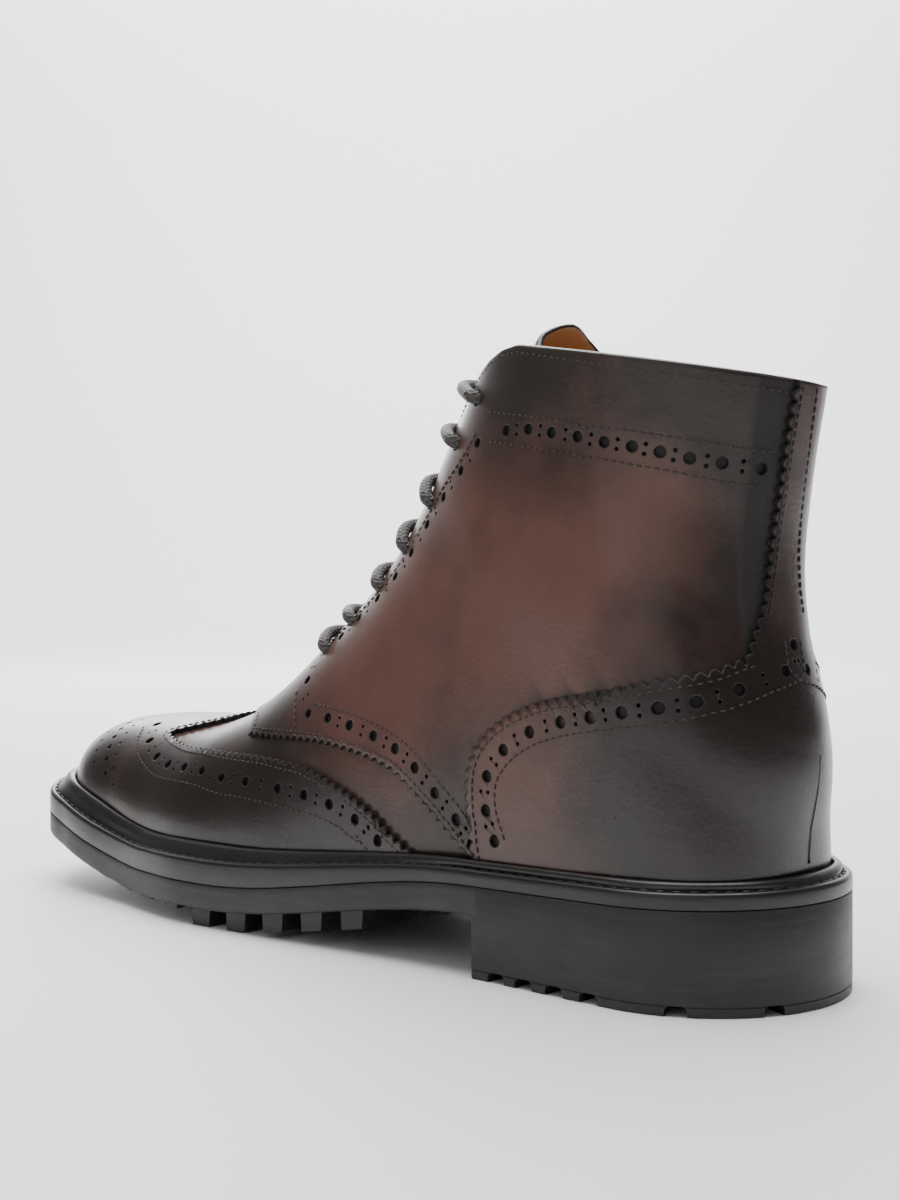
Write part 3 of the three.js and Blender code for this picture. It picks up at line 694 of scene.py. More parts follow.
# %% [markdown]
# ## The counter and the backstay
# One pinked line runs up from the sole round the heel and on up the back, so the counter and the
# backstay are cut as one piece. Its outline crosses the back seam.
# %% Counter and backstay
def across_back(path):
    """The same path on the inner side, with its angles counted on past the back seam."""
    return path * [1, -1] + [0, 2 * pi]

inner_turn, inner_turn_place = 0.36, 12.0
counter_outer = gimped(np.concatenate([counter_found, stay_found]))
stay_inner = across_back(stay_found)
stay_inner[:, 1] += inner_turn * ease((stay_inner[:, 0] - inner_turn_place) / 0.6)
counter_inner = gimped(np.concatenate([across_back(counter_found), stay_inner]))[::-1]
top_angles = np.linspace(stay_found[-1, 1], stay_inner[-1, 1], 24)
stay_top = np.stack([collar_place(top_angles), top_angles], -1)
counter_bottom = bottom_from(counter_found[0], low_back)
counter_outline = [(counter_outer, True), (stay_top, True), (counter_inner, True),
                   (across_back(counter_bottom), False), (counter_bottom[::-1], False)]
counter_punches = counter_holes + [(p, 2 * pi - a, r) for p, a, r in counter_holes]
cut_leather("counter_and_backstay", "dark_leather", counter_outline, counter_punches, counter_level, 1.3,
            grid=2.8, replaced=("counter", "backstay"))

# %% [markdown]
# ## Lining and rims
# The inside is lined with soft tan leather. The collar's and the throat's cut edges are folded
# and painted dark, so a narrow rounded rim joins the outside to the lining.
# %% Lining
cut_leather("lining", "lining", around_to_throat(4.0, 0.05), [], lining_level, 0.8, grid=4.0, inside=True,
            wavy=False)

# %% Rims
def surface_grid(name, slot, rows, replaced=(), closed=False, second=-1):
    """A soft sheet laid on rows of points; columns up to the second one have the second finish."""
    rows = np.asarray(rows)
    down, across = rows.shape[:2]
    bm = bmesh.new()
    bmesh.ops.create_grid(bm, x_segments=down - 1, y_segments=across - 1, size=0.5)
    columns = {}
    for v in bm.verts:
        i = int(round((v.co.x + 0.5) * (down - 1)))
        j = int(round((v.co.y + 0.5) * (across - 1)))
        columns[v] = j
        v.co = Vector(rows[i, j]) * mm
    for f in bm.faces:
        f.material_index = 1 if max(columns[v] for v in f.verts) <= second else 0
    if closed:
        bmesh.ops.remove_doubles(bm, verts=bm.verts, dist=1e-6)
        bmesh.ops.holes_fill(bm, edges=[e for e in bm.edges if e.is_boundary], sides=0)
        bmesh.ops.recalc_face_normals(bm, faces=bm.faces)
    for f in bm.faces:
        f.smooth = True
    return mesh_object(name, bm, slot, replaced)

def rim_rows(path, outer=1.25, inner=-2.3, bulge=0.55):
    """A half round over a cut edge, from the outside level to the lining."""
    p, a = path[:, 0], path[:, 1]
    points, normal = bare_surface(p, a), outward(p, a)
    beyond = np.cross(unit(np.gradient(points, axis=0)), normal)
    rows = []
    for turn in np.linspace(-0.5 * pi, 1.5 * pi, 15)[:-1]:
        level = (outer + inner) / 2 + math.sin(turn + pi / 2) * (outer - inner) / 2
        rows.append(points + normal * level + beyond * (math.sin(turn) * bulge))
    rows.append(rows[0])
    return np.swapaxes(np.array(rows), 0, 1)

top_edge = smooth(np.concatenate([throat_path, collar_path[1:]]), 1.6, corner=True)
whole_edge = np.concatenate([top_edge, across_back(top_edge[::-1])[1:]])
rim = surface_grid("collar_rim", "dark_leather", rim_rows(whole_edge), closed=True)
print("rim", len(rim.data.polygons), "faces")

# %% [markdown]
# ## The tongue
# The tongue lies under the facings, widens upwards, and leans back inside the collar.
# %% Tongue
tongue_start, tongue_end, tongue_drop, lean_start, tongue_lean = 5.7, 15.6, 1.6, 9.0, 12.0
rows = []
for across in np.linspace(-1, 1, 33):
    end = tongue_end - tongue_drop * abs(across) ** 1.2
    places_here = np.linspace(tongue_start, end, 60)
    up = clamp01((places_here - tongue_start) / (lean_start - tongue_start))
    angle = np.radians(across * (34 + 20 * up))
    depth = 2.8 + tongue_lean * clamp01((places_here - lean_start) / (tongue_end - lean_start)) ** 1.5
    front, back = on_last(places_here, angle, -depth), on_last(places_here, angle, -depth - 1.8)
    tip = (front[-1] + back[-1]) / 2 + unit(front[-1] - front[-2]) * 0.8
    rows.append(np.concatenate([back, [tip], front[::-1], [back[0]]]))
tongue = surface_grid("tongue_dressed", "brown_leather", rows, replaced=("tongue",), closed=True, second=59)
print("tongue", len(tongue.data.polygons), "faces")

# %% [markdown]
# ## The lace
# A round waxed lace crosses the throat in seven bars. Each bar comes up out of its eyelet, bends
# over the facing and dives into the eyelet on the other side.
# %% Lace
def sweep(path, radius, sides=12):
    """A round cord along a path. Each corner knows its turn round it and its millimetres along it."""
    path = np.asarray(path)
    run = unit(np.gradient(path, axis=0))
    side = np.cross(run, [0, 0, 1.0])
    side = unit(np.where(np.linalg.norm(side, axis=1, keepdims=True) > 0.05, side, [1.0, 0, 0]))
    other = np.cross(side, run)
    bm = bmesh.new()
    ring = bmesh.ops.create_circle(bm, segments=sides, radius=1.0, cap_ends=True)["verts"]
    frame_at = lambda k: Matrix(((*side[k],), (*other[k],), (*run[k],))).transposed().to_4x4()
    circle = [v.co.copy() for v in ring]
    uv = bm.loops.layers.uv.new("UVMap")
    along = run_along(path)
    loop_verts = list(ring)
    number = {}
    for k in range(len(path)):
        if k:
            made = bmesh.ops.extrude_edge_only(bm, edges=loop_edges)
            fresh = [g for g in made["geom"] if isinstance(g, bmesh.types.BMVert)]
            nearest = lambda v: min(range(sides), key=lambda j: (v.co - loop_verts[j].co).length)
            loop_verts = sorted(fresh, key=nearest)
        for j, v in enumerate(loop_verts):
            v.co = (Vector(path[k]) + frame_at(k) @ (circle[j] * radius)) * mm
            number[v] = (j, k)
        loop_edges = [bm.edges.get((loop_verts[j], loop_verts[(j + 1) % sides])) for j in range(sides)]
    bmesh.ops.holes_fill(bm, edges=[e for e in bm.edges if e.is_boundary], sides=0)
    bmesh.ops.recalc_face_normals(bm, faces=bm.faces)
    for f in bm.faces:
        f.smooth = len(f.verts) == 4
        turns = [number[v][0] for v in f.verts]
        wraps = max(turns) - min(turns) > 1
        for loop in f.loops:
            j, k = number[loop.vert]
            loop[uv].uv = ((j + sides if wraps and j == 0 else j) / sides, along[k])
    return bm

# Where each bar crosses the middle, its eyelet's place and angle, and how far it dips
bars = [(7.18, 7.26, 28, 1.8), (7.45, 7.62, 26, 1.4), (8.00, 8.04, 25, 1.4), (8.55, 8.55, 26, 2.0),
        (9.22, 9.22, 27, 2.2), (10.35, 10.65, 32, 2.4), (11.95, 12.40, 42, 2.6)]
lace_radius, over_facing, dip_share = 1.95, 3.3, 0.8
half_bar = [(1.0, -1.4), (1.0, 1.3), (0.9, 2.9), (0.5, over_facing)]
lace = bmesh.new()
for middle, place, angle, dip in bars:
    crossing = (0, over_facing - dip_share * dip)
    stops = [(-share, level) for share, level in half_bar] + [crossing] + half_bar[::-1]
    stops = np.array([on_last(middle + (place - middle) * share**2, math.radians(angle * share), level)
                      for share, level in stops])
    part = sweep(through_all(stops, np.linspace(0, len(stops) - 1, 60)), lace_radius)
    scratch = bpy.data.meshes.new("bar")
    part.to_mesh(scratch)
    part.free()
    lace.from_mesh(scratch)
    bpy.data.meshes.remove(scratch)
lace_piece = mesh_object("lace", lace, "lace", tuple("lace_bar_%d" % k for k in range(1, 8)))
print("lace", len(lace_piece.data.polygons), "faces")

# %% [markdown]
# ## The sole
# The outsole and heel are one moulding, the welt another. Each wall is a profile drawn round the
# sole's plan, row by row, so it keeps the joint line, the soft corners and the stitch groove.
# %% Sole outline
side_steps = 150
plan_u = (1 - np.cos(np.linspace(0, pi, 1200))) / 2

def evenly(points, steps):
    """The same line with its points spread evenly along it."""
    run = run_along(points)
    return resampled(points, run, np.linspace(0, run[-1], steps + 1))

def half_loop(side, inset=0.0):
    tip = inset / sole_length
    station = tip + (1 - 2 * tip) * plan_u
    centre, half = sole_edge(station, inset)
    points = np.stack([centre + side * half + side_shift, sole_length * (0.5 - station)], -1)
    return evenly(points, side_steps)

def closed_loop(outer, inner):
    """From the heel's middle along the outer side to the toe, and back along the inner side."""
    return np.concatenate([outer[:-1], inner[::-1][:-1]])

def last_loop(level):
    """The upper's foot at the welt, matched to the same number of points."""
    place = np.linspace(low_back, toe_place, 700)
    angle = bottom_angle(place, 0.0)
    ends = [[on_last(end, pi, level)[:2]] for end in (low_back, toe_place)]
    sides = [on_last(place, angle * side, level)[:, :2] for side in (1, -1)]
    return closed_loop(*[evenly(np.concatenate([ends[0], points, ends[1]]), side_steps) for points in sides])

def outwards(loop):
    """The direction out of a closed loop at each of its points."""
    run = unit(np.roll(loop, -1, axis=0) - np.roll(loop, 1, axis=0))
    out = np.stack([-run[:, 1], run[:, 0]], -1)
    return out * np.sign(((loop - loop.mean(0)) * out).sum(1))[:, None]

toe_place = 0.62
plan = closed_loop(half_loop(1), half_loop(-1))
plan_out = outwards(plan)
plan_station = np.clip(station_at(plan[:, 1]), 0, 1)
foot, foot_heel = last_loop(2.0), last_loop(3.1)
heel_share = ease((foot[:, 1] - 55) / 14)[:, None]
foot = foot * (1 - heel_share) + foot_heel * heel_share
print("welt is", round(float(np.linalg.norm(plan - foot, axis=1).min()), 2), "to",
      round(float(np.linalg.norm(plan - foot, axis=1).max()), 2), "mm wide")

def wall(name, slot, rows, replaced=(), close=True):
    """A closed loop drawn row by row, each row moved to its own place."""
    bm = bmesh.new()
    count = len(rows[0])
    loop_verts = bmesh.ops.create_circle(bm, segments=count, radius=1.0)["verts"]
    first = list(loop_verts)
    order = {v: j for j, v in enumerate(loop_verts)}
    for k, row_points in enumerate(rows):
        if k:
            edges = [bm.edges.get((loop_verts[j], loop_verts[(j + 1) % count])) for j in range(count)]
            made = bmesh.ops.extrude_edge_only(bm, edges=edges)
            fresh = {}
            for e in made["geom"]:
                if isinstance(e, bmesh.types.BMVert):
                    partner = [link.other_vert(e) for link in e.link_edges if link.other_vert(e) in order]
                    fresh[order[partner[0]]] = e
            loop_verts = [fresh[j] for j in range(count)]
            order = {v: j for j, v in enumerate(loop_verts)}
        for j, v in enumerate(loop_verts):
            v.co = Vector(row_points[j]) * mm
    if close:
        for j in range(count):
            i = (j + 1) % count
            bm.faces.new([loop_verts[j], loop_verts[i], first[i], first[j]])
    bmesh.ops.recalc_face_normals(bm, faces=bm.faces)
    for f in bm.faces:
        f.smooth = True
    return mesh_object(name, bm, slot, replaced)

def at_edge(offset, height, loop=plan, out=plan_out):
    return np.column_stack([loop + out * np.reshape(offset, (-1, 1)), np.broadcast_to(height, len(loop))])

def towards_foot(share, height):
    return np.column_stack([plan + (foot - plan) * share, height])

ot, wt, sb = outsole_top(plan_station), welt_top(plan_station), sole_bottom(plan_station)
lip_height = 4.2
lip = lip_height * (0.5 + 0.5 * forefoot_share(plan_station))
print("the sole's wall is", round(float((wt - sb).max()), 1), "mm high at most")

# %% Welt
# Out from the plan and up: the wall, the rounded edge, the stitch groove, then the lip to the upper
welt_rows = [at_edge(*row) for row in (
    (-5, ot), (-0.4, ot), (-0.12, ot + 0.1), (0, ot + 0.35), (0.05, (ot + wt) / 2), (0, wt - 1.3),
    (-0.12, wt - 0.7), (-0.5, wt - 0.25), (-1.1, wt - 0.05), (-1.6, wt), (-1.85, wt - 0.5),
    (-2.5, wt - 0.55), (-2.75, wt + 0.05))]
welt_rows += [towards_foot(share, wt + lip * rise) for share, rise in (
    (0.50, 0.42), (0.60, 0.74), (0.72, 0.94), (0.84, 1.0), (0.94, 0.93), (1.0, 0.7))]
welt_rows += [towards_foot(1.02, wt - 0.5), towards_foot(1.05, ot)]
welt = wall("welt_dressed", "welt_rubber", welt_rows, replaced=("welt",))
print("welt", len(welt.data.polygons), "faces")

# %% Outsole
# The wall is set in a little behind the breast, where the heel's own wall covers it
behind = (plan_station < breast - 0.006).astype(float)
soft = (plan_station > breast + 0.001).astype(float)
set_in = 0.3 * behind
sole_rows = [(-6, ot - 0.05), (-0.4, ot - 0.05), (-0.12 - set_in, ot - 0.15), (-set_in, ot - 0.4)]
sole_rows += [(-set_in, ot - 0.8 + (sb + 1.2 - ot + 0.8) * share) for share in (0.2, 0.45, 0.7)]
sole_rows += [(-set_in, sb + 1.0 * soft + 0.2), (-behind - 0.35 * soft, sb + 0.3 * soft + 0.1),
              (-behind - 1.2 * soft, sb), (-6.0, sb)]
wall("sole_edge", "sole_rubber", [at_edge(*row) for row in sole_rows], replaced=("outsole",))

def across_sheet(name, slot, loop, height, down=True):
    """A floor from the outer half of a loop to its inner half."""
    outer = loop[:side_steps + 1]
    inner = np.concatenate([loop[:1], loop[side_steps:][::-1]])
    lines = [outer + (inner - outer) * share for share in np.linspace(0, 1, 5)]
    bm = bmesh.new()
    grid = [[bm.verts.new(Vector(p) * mm) for p in np.column_stack([line, height(station_at(line[:, 1]))])]
            for line in lines]
    for i in range(4):
        for j in range(side_steps):
            bm.faces.new([grid[i][j], grid[i + 1][j], grid[i + 1][j + 1], grid[i][j + 1]])
    bmesh.ops.remove_doubles(bm, verts=bm.verts, dist=1e-6)
    bmesh.ops.recalc_face_normals(bm, faces=bm.faces)
    if (sum(f.normal.z for f in bm.faces) > 0) == down:
        bmesh.ops.reverse_faces(bm, faces=bm.faces)
    return mesh_object(name, bm, slot)

under = across_sheet("sole_underside", "sole_rubber", plan + plan_out * -5.5,
                     lambda s: sole_bottom(np.clip(s, 0, 1)) + 0.02)
over = across_sheet("welt_floor", "welt_rubber", foot, lambda s: welt_top(np.clip(s, 0, 1)) - 0.6, down=False)
print("underside and floor", len(under.data.polygons), len(over.data.polygons), "faces")

# %% Heel
# Its wall goes down to the floor, with a fine line where the top lift starts
breast_y = sole_length * (0.5 - breast)
outer_half, inner_half = [half_loop(side)[half_loop(side)[:, 1] > breast_y] for side in (1, -1)]
heel_plan = np.concatenate([outer_half[::-1], inner_half[1:]])
front_x = np.linspace(heel_plan[-1, 0], heel_plan[0, 0], 22)
heel_loop = np.concatenate([[[heel_plan[0, 0], breast_y]], heel_plan, [[heel_plan[-1, 0], breast_y]],
                            np.column_stack([front_x, np.full(22, breast_y)])[1:-1]])
heel_out = outwards(heel_loop)
joint = outsole_top(np.clip(station_at(heel_loop[:, 1]), 0, 1))
heel_levels = [(-3, joint - 0.06), (-0.4, joint - 0.06), (-0.12, joint - 0.15), (0, joint - 0.4),
               (0, joint * 0.5 + 1.2), (0, 2.75), (-0.22, 2.6), (-0.22, 2.45), (0, 2.3), (0, 0.7),
               (-0.25, 0.15), (-0.9, 0.0), (-3, 0.0)]
heel = wall("heel", "sole_rubber", [at_edge(*row, heel_loop, heel_out) for row in heel_levels], close=False)
bm = bmesh.new()
bm.from_mesh(heel.data)
bmesh.ops.holes_fill(bm, edges=[e for e in bm.edges if e.is_boundary], sides=0)
bmesh.ops.triangulate(bm, faces=[f for f in bm.faces if len(f.verts) > 4])
bmesh.ops.recalc_face_normals(bm, faces=bm.faces)
bm.to_mesh(heel.data)
bm.free()
print("heel", len(heel.data.polygons), "faces before its notches")

# %% Notches in the heel
# Each notch is a rounded block, placed by its shares along and across the heel, and its turn
notch_table = [(0.40, 1.0, 0), (0.29, 1.0, 0), (0.17, 1.0, 0), (0.04, 1.0, 0), (-0.23, 0.88, 26),
               (-0.44, 0.48, 62)]
notch_size, notch_round = (16, 5.6, 5.4), 1.5
notches = bmesh.new()
heel_middle = sole_length * (0.5 - breast / 2)
half_heel = float(sole_edge(breast / 2)[1])
for along, across, turn in notch_table:
    for side in (1, -1):
        spot = Vector((side * across * half_heel + side_shift, heel_middle - along * heel_length, 0)) * mm
        spot = Matrix.Translation(spot) @ Matrix.Rotation(math.radians(side * turn), 4, "Z")
        spot = spot @ Matrix.Diagonal([size * mm for size in notch_size] + [1])
        cube = bmesh.ops.create_cube(notches, size=1.0, matrix=spot)
        upright = {e for v in cube["verts"] for e in v.link_edges if v.co.z > 0 and e.other_vert(v).co.z > 0}
        bmesh.ops.bevel(notches, geom=list(upright), offset=notch_round * mm, segments=4, profile=0.5,
                        affect="EDGES", material=-1)
cutter_mesh = bpy.data.meshes.new("notch_cutters")
notches.to_mesh(cutter_mesh)
notches.free()
cutter = linked("notch_cutters", cutter_mesh)
cut = heel.modifiers.new("notches", "BOOLEAN")
cut.object, cut.operation, cut.solver = cutter, "DIFFERENCE", "EXACT"
heel_cut = bpy.data.meshes.new_from_object(heel.evaluated_get(bpy.context.evaluated_depsgraph_get()))
heel.modifiers.clear()
heel.data = heel_cut
heel.data.shade_smooth()
heel.data.set_sharp_from_angle(angle=math.radians(35))
bpy.data.objects.remove(cutter)
print("heel", len(heel.data.polygons), "faces")

# %% Lugs
lug_pitch, lug_length, lug_run, lug_taper, lug_inset, centre_half = 15.3, 8.3, 20.0, 0.9, 2.2, 11
lug_first, lug_root = sole_length * (0.5 - 0.85), 0.6
shallow_from, shallow_share = 0.639, 0.82
lugs = bmesh.new()

def lug_bottom(station):
    shallow = clamp01((station - shallow_from) / 0.004)
    return sole_bottom(station) - lug_depth * (1 - shallow_share * shallow)

def lug(x_of, middle):
    y0, y1 = middle - lug_length / 2, middle + lug_length / 2
    grid = bmesh.ops.create_grid(lugs, x_segments=5, y_segments=5, size=0.5)["verts"]
    for v in grid:
        y = y0 + (y1 - y0) * (v.co.y + 0.5)
        station = station_at(y)
        low, high = x_of(station)
        x = low + (high - low) * (v.co.x + 0.5)
        v.co = Vector((x + side_shift, y, float(sole_bottom(station)) + lug_root)) * mm
    faces = list({f for v in grid for f in v.link_faces})
    made = bmesh.ops.extrude_face_region(lugs, geom=faces)
    fresh = [g for g in made["geom"] if isinstance(g, bmesh.types.BMVert)]
    centre = sum((v.co for v in fresh), Vector()) / len(fresh)
    for v in fresh:
        v.co.z = float(lug_bottom(float(station_at(v.co.y / mm)))) * mm
        v.co.y = centre.y + (v.co.y - centre.y) * lug_taper

def side_lug(side):
    def x_of(station):
        centre, half = sole_edge(station, lug_inset)
        ends = (float(centre) + side * lug_run, float(centre) + side * max(float(half), lug_run + 2))
        return min(ends), max(ends)
    return x_of

def centre_lug(station):
    centre = float(sole_edge(station)[0])
    return centre - centre_half, centre + centre_half

for index in range(10):
    y = lug_first + index * lug_pitch
    for x_of, middle in ((side_lug(1), y), (side_lug(-1), y), (centre_lug, y + lug_pitch / 2)):
        lug(x_of, middle)
bmesh.ops.recalc_face_normals(lugs, faces=lugs.faces)
lugs_piece = mesh_object("lugs", lugs, "sole_rubber")
print("lugs", len(lugs_piece.data.polygons), "faces")

# %% [markdown]
# ## Stitching
# Lockstitch shows on the leather as a row of short round thread ends, each a little sunk. One
# small ball, stretched along its seam, makes each of them.
# %% Stitches
def stretched_balls(name, slot, spots):
    """One ball made once, and laid at every spot, given as a 4 by 4 matrix."""
    bm = bmesh.new()
    bmesh.ops.create_uvsphere(bm, u_segments=6, v_segments=4, radius=1.0)
    ball = np.array([v.co for v in bm.verts])
    faces = [[v.index for v in f.verts] for f in bm.faces]
    bm.free()
    corners, all_faces = [], []
    for count, spot in enumerate(spots):
        turn = np.array(spot)
        corners.append(ball @ turn[:3, :3].T + turn[:3, 3])
        all_faces += [[k + count * len(ball) for k in f] for f in faces]
    mesh = bpy.data.meshes.new(name)
    mesh.from_pydata(np.concatenate(corners).tolist(), [], all_faces)
    mesh.shade_smooth()
    bm = bmesh.new()
    bm.from_mesh(mesh)
    bpy.data.meshes.remove(mesh)
    print(name, len(bm.faces), "faces")
    return mesh_object(name, bm, slot)

def stitch_spot(centre, side, run, up, half_sizes):
    """Where a stitch lies, from its three directions and its half sizes in millimetres."""
    turn = Matrix(((*side, 0), (*run, 0), (*up, 0), (0, 0, 0, 1))).transposed()
    size = Matrix.Diagonal([half * mm for half in half_sizes] + [1])
    return Matrix.Translation(Vector(centre) * mm) @ turn @ size

def stitch_rows(name, slot, rows, thick=0.30, proud=0.06):
    """Rows are (path, level, pitch); the stitches of all of them make one piece."""
    spots_found = []
    for path, level, pitch in rows:
        fine = smooth(path, pitch)
        p, a = fine[:, 0], fine[:, 1]
        centre, normal = on_last(p, a, level + proud), outward(p, a)
        for c, n, r in zip(centre, normal, unit(np.gradient(centre, axis=0))):
            spots_found.append(stitch_spot(c, np.cross(n, r), r, n, (thick, pitch * 0.40, thick * 0.9)))
    return stretched_balls(name, slot, spots_found)

def inside(path, offset):
    fine = smooth(path, 1.0)
    return nudge(fine, np.full(len(fine), offset))

stitch_pitch = 2.3
facing_line = facing_holes_found[:37]
band_line = np.concatenate([facing_holes_found[-1:], band_holes_found])
front_tack = find([(-13, 71.3), (-10, 66.5), (-7.2, 62.2)], flat=True)
cap_rows = [inside(cap_found, -1.9), inside(cap_holes_found, -5.0)]
quarter_rows = [inside(quarter_line, 2.0), inside(band_line, 3.2), inside(throat_path, -1.6),
                inside(facing_line, -3.0), front_tack, cuff_low, cuff_high, collar_path[:-3] - [0.14, 0]]
counter_rows = [inside(counter_found, -2.2), inside(counter_holes_found, -3.6), inside(stay_found, -1.7)]
seams = [(path if side > 0 else mirrored(path), level, stitch_pitch)
         for rows, level in ((cap_rows, cap_level), (quarter_rows, quarter_level),
                             (counter_rows, counter_level))
         for path in rows for side in (1, -1)]
stitch_rows("stitches", "dark_leather", seams)

# %% Back seam
seam_fine = smooth(np.array([(9.72, pi + 0.01), (10.2, pi + 0.04), (10.8, pi + 0.09)]), 1.5)
seam_path = on_last(seam_fine[:, 0], seam_fine[:, 1], 2.35)
seam = mesh_object("back_seam", sweep(seam_path, 0.4, sides=8), "dark_leather")
print("back seam", len(seam.data.polygons), "faces")

# %% Welt stitches
welt_pitch, welt_stitch_half = 4.2, (0.45, 1.75, 0.42)
groove = np.column_stack([plan + plan_out * -2.17, wt - 0.25])
count = int(run_along(groove)[-1] / welt_pitch)
middle_line = evenly(groove, count - 1)
welt_spots = []
for c, r in zip(middle_line, unit(np.gradient(middle_line, axis=0))):
    side = unit(np.cross([0, 0, 1.0], r))
    welt_spots.append(stitch_spot(c, side, r, np.cross(side, r), welt_stitch_half))
stretched_balls("welt_stitches", "welt_rubber", welt_spots)
print("welt stitches", count)

# %% [markdown]
# ## Materials
# Every finish is worked out from where a point lies on the boot. The patterns can be added and
# multiplied like numbers, and each mixture becomes a colour, a roughness or a small height.
# %% Shader maths
class Socket:
    """An output socket that can be added, multiplied and compared like a number."""
    def __init__(self, tree, socket):
        self.tree, self.socket = tree, socket

    def maths(self, operation, *values):
        return Finish.add(self.tree, "ShaderNodeMath", {"operation": operation}, dict(enumerate(values)))

    def __add__(self, other): return self.maths("ADD", self, other)
    def __radd__(self, other): return self.maths("ADD", other, self)
    def __sub__(self, other): return self.maths("SUBTRACT", self, other)
    def __rsub__(self, other): return self.maths("SUBTRACT", other, self)
    def __mul__(self, other): return self.maths("MULTIPLY", self, other)
    def __rmul__(self, other): return self.maths("MULTIPLY", other, self)
    def __truediv__(self, other): return self.maths("DIVIDE", self, other)
    def __pow__(self, other): return self.maths("POWER", self, other)
    def clamp(self): return self.maths("MINIMUM", self.maths("MAXIMUM", self, 0.0), 1.0)
    def most(self, other): return self.maths("MAXIMUM", self, other)
    def sine(self): return self.maths("SINE", self)

class Finish:
    """One procedural material."""
    def __init__(self, name):
        self.material = bpy.data.materials.new(name)
        self.material.use_nodes = True
        self.tree = self.material.node_tree
        self.tree.nodes.clear()
        self.place = self.node("ShaderNodeTexCoord", {}, {}, "Object")

    @staticmethod
    def add(tree, kind, settings, inputs, output=0):
        made = tree.nodes.new(kind)
        for key, value in settings.items():
            setattr(made, key, value)
        for key, value in inputs.items():
            if isinstance(value, Socket):
                tree.links.new(value.socket, made.inputs[key])
            else:
                made.inputs[key].default_value = value
        return Socket(tree, made.outputs[output]) if made.outputs else None

    def node(self, kind, settings={}, inputs={}, output=0):
        return self.add(self.tree, kind, settings, inputs, output)

    def vector(self, operation, other, output=0):
        return self.node("ShaderNodeVectorMath", {"operation": operation}, {0: self.place, 1: other}, output)

    def noise(self, size, detail=3.0, stretch=None):
        place = self.place if stretch is None else self.vector("MULTIPLY", stretch)
        return self.node("ShaderNodeTexNoise", {}, {"Vector": place, "Scale": 1 / size, "Detail": detail,
                                                    "Roughness": 0.55})

    def near(self, centre, radius):
        """1 at a point on the boot and 0 beyond a radius, in metres."""
        return self.node("ShaderNodeMapRange", {"interpolation_type": "SMOOTHSTEP"},
                         {"Value": self.vector("DISTANCE", centre, "Value"), "From Min": 0.0,
                          "From Max": radius, "To Min": 1.0, "To Max": 0.0})

    def mix(self, share, first, second):
        return self.node("ShaderNodeMix", {"data_type": "RGBA"}, {0: share, 6: first, 7: second}, 2)

    def attribute(self, name):
        return self.node("ShaderNodeAttribute", {"attribute_name": name}, {}, "Fac")

    def bump(self, height, distance, strength):
        return self.node("ShaderNodeBump", {}, {"Height": height, "Distance": distance, "Strength": strength})

    def surface(self, colour, roughness, normal=None, **constants):
        inputs = {"Base Color": colour, "Roughness": roughness}
        if normal is not None:
            inputs["Normal"] = normal
        inputs.update({key.replace("_", " "): value for key, value in constants.items()})
        shader = self.node("ShaderNodeBsdfPrincipled", {}, inputs)
        self.node("ShaderNodeOutputMaterial", {}, {"Surface": shader})
        return self.material

print("finishes made so far", len(bpy.data.materials))

# %% Leather
def leather(name, deep, warm, patches, burnish, shine):
    """Burnished leather: dark and warm clouds, darker at every cut edge, with a fine grain."""
    f = Finish(name)
    share = (f.noise(0.034, 4.0) - 0.5) * 1.5 + (f.noise(0.012, 3.0) - 0.5) * 0.5 + 0.12
    for centre, radius, amount in patches:
        share = share + f.near(centre, radius) * amount
    # The covered mask marks where a piece lies under another. There the colour is painted near black, as
    # painted shade at the bottom of the holes over it.
    edge, covered_painted_shade = f.attribute("near_edge"), f.attribute("covered_painted_shade")
    share = (share.clamp() - edge * burnish).clamp()
    # The cut walls and the rims of the holes go near black. This is partly edge stain and partly painted
    # shade on the walls and the pinked teeth.
    cut_wall_stain_and_shade = ((edge - 0.35) * 1.6).clamp()
    edge_stain_and_shade_colour = (0.006, 0.004, 0.0035, 1)
    colour = f.mix(covered_painted_shade.most(cut_wall_stain_and_shade * 0.85), f.mix(share, deep, warm), edge_stain_and_shade_colour)
    grain = f.node("ShaderNodeTexVoronoi", {"feature": "F1"}, {"Vector": f.place, "Scale": 1 / 0.0011})
    height = grain * 0.3 + f.noise(0.0045, 4.0, (1.0, 1.0, 1.7)) * 0.6
    rough = (f.noise(0.02, 3.0) - 0.5) * 0.2 + shine + covered_painted_shade * 0.4 + cut_wall_stain_and_shade * 0.5
    return f.surface(colour, rough, f.bump(height, 0.00018, 0.5), Specular_IOR_Level=0.45,
                     Coat_Weight=0.12 * (1.0 - cut_wall_stain_and_shade), Coat_Roughness=0.16)

# Patches of polish and wear: a centre on the boot, a radius, and how much warmer they are
brown_patches = [
    ((0.03, 0.05, 0.10), 0.075, 0.75), ((0.03, 0.09, 0.10), 0.06, 0.45), ((0.03, 0.02, 0.07), 0.05, 0.55),
    ((0.0, 0.14, 0.165), 0.06, -0.9), ((0.02, 0.08, 0.165), 0.035, -0.5), ((0.02, 0.12, 0.09), 0.04, -0.35),
    ((0.0, -0.07, 0.06), 0.04, 0.9), ((0.03, 0.122, 0.126), 0.030, 0.7), ((0.03, 0.106, 0.098), 0.040, 0.7)]
dark_patches = [
    ((0.038, 0.084, 0.054), 0.048, 0.95), ((0.045, -0.03, 0.03), 0.06, -0.35),
    ((0.0, -0.14, 0.04), 0.06, -1.0), ((0.0, 0.15, 0.06), 0.05, -0.5), ((0.030, 0.130, 0.060), 0.050, -0.75)]
brown = leather("brown_leather", (0.014, 0.0075, 0.0058, 1), (0.092, 0.040, 0.030, 1), brown_patches,
                0.35, 0.34)
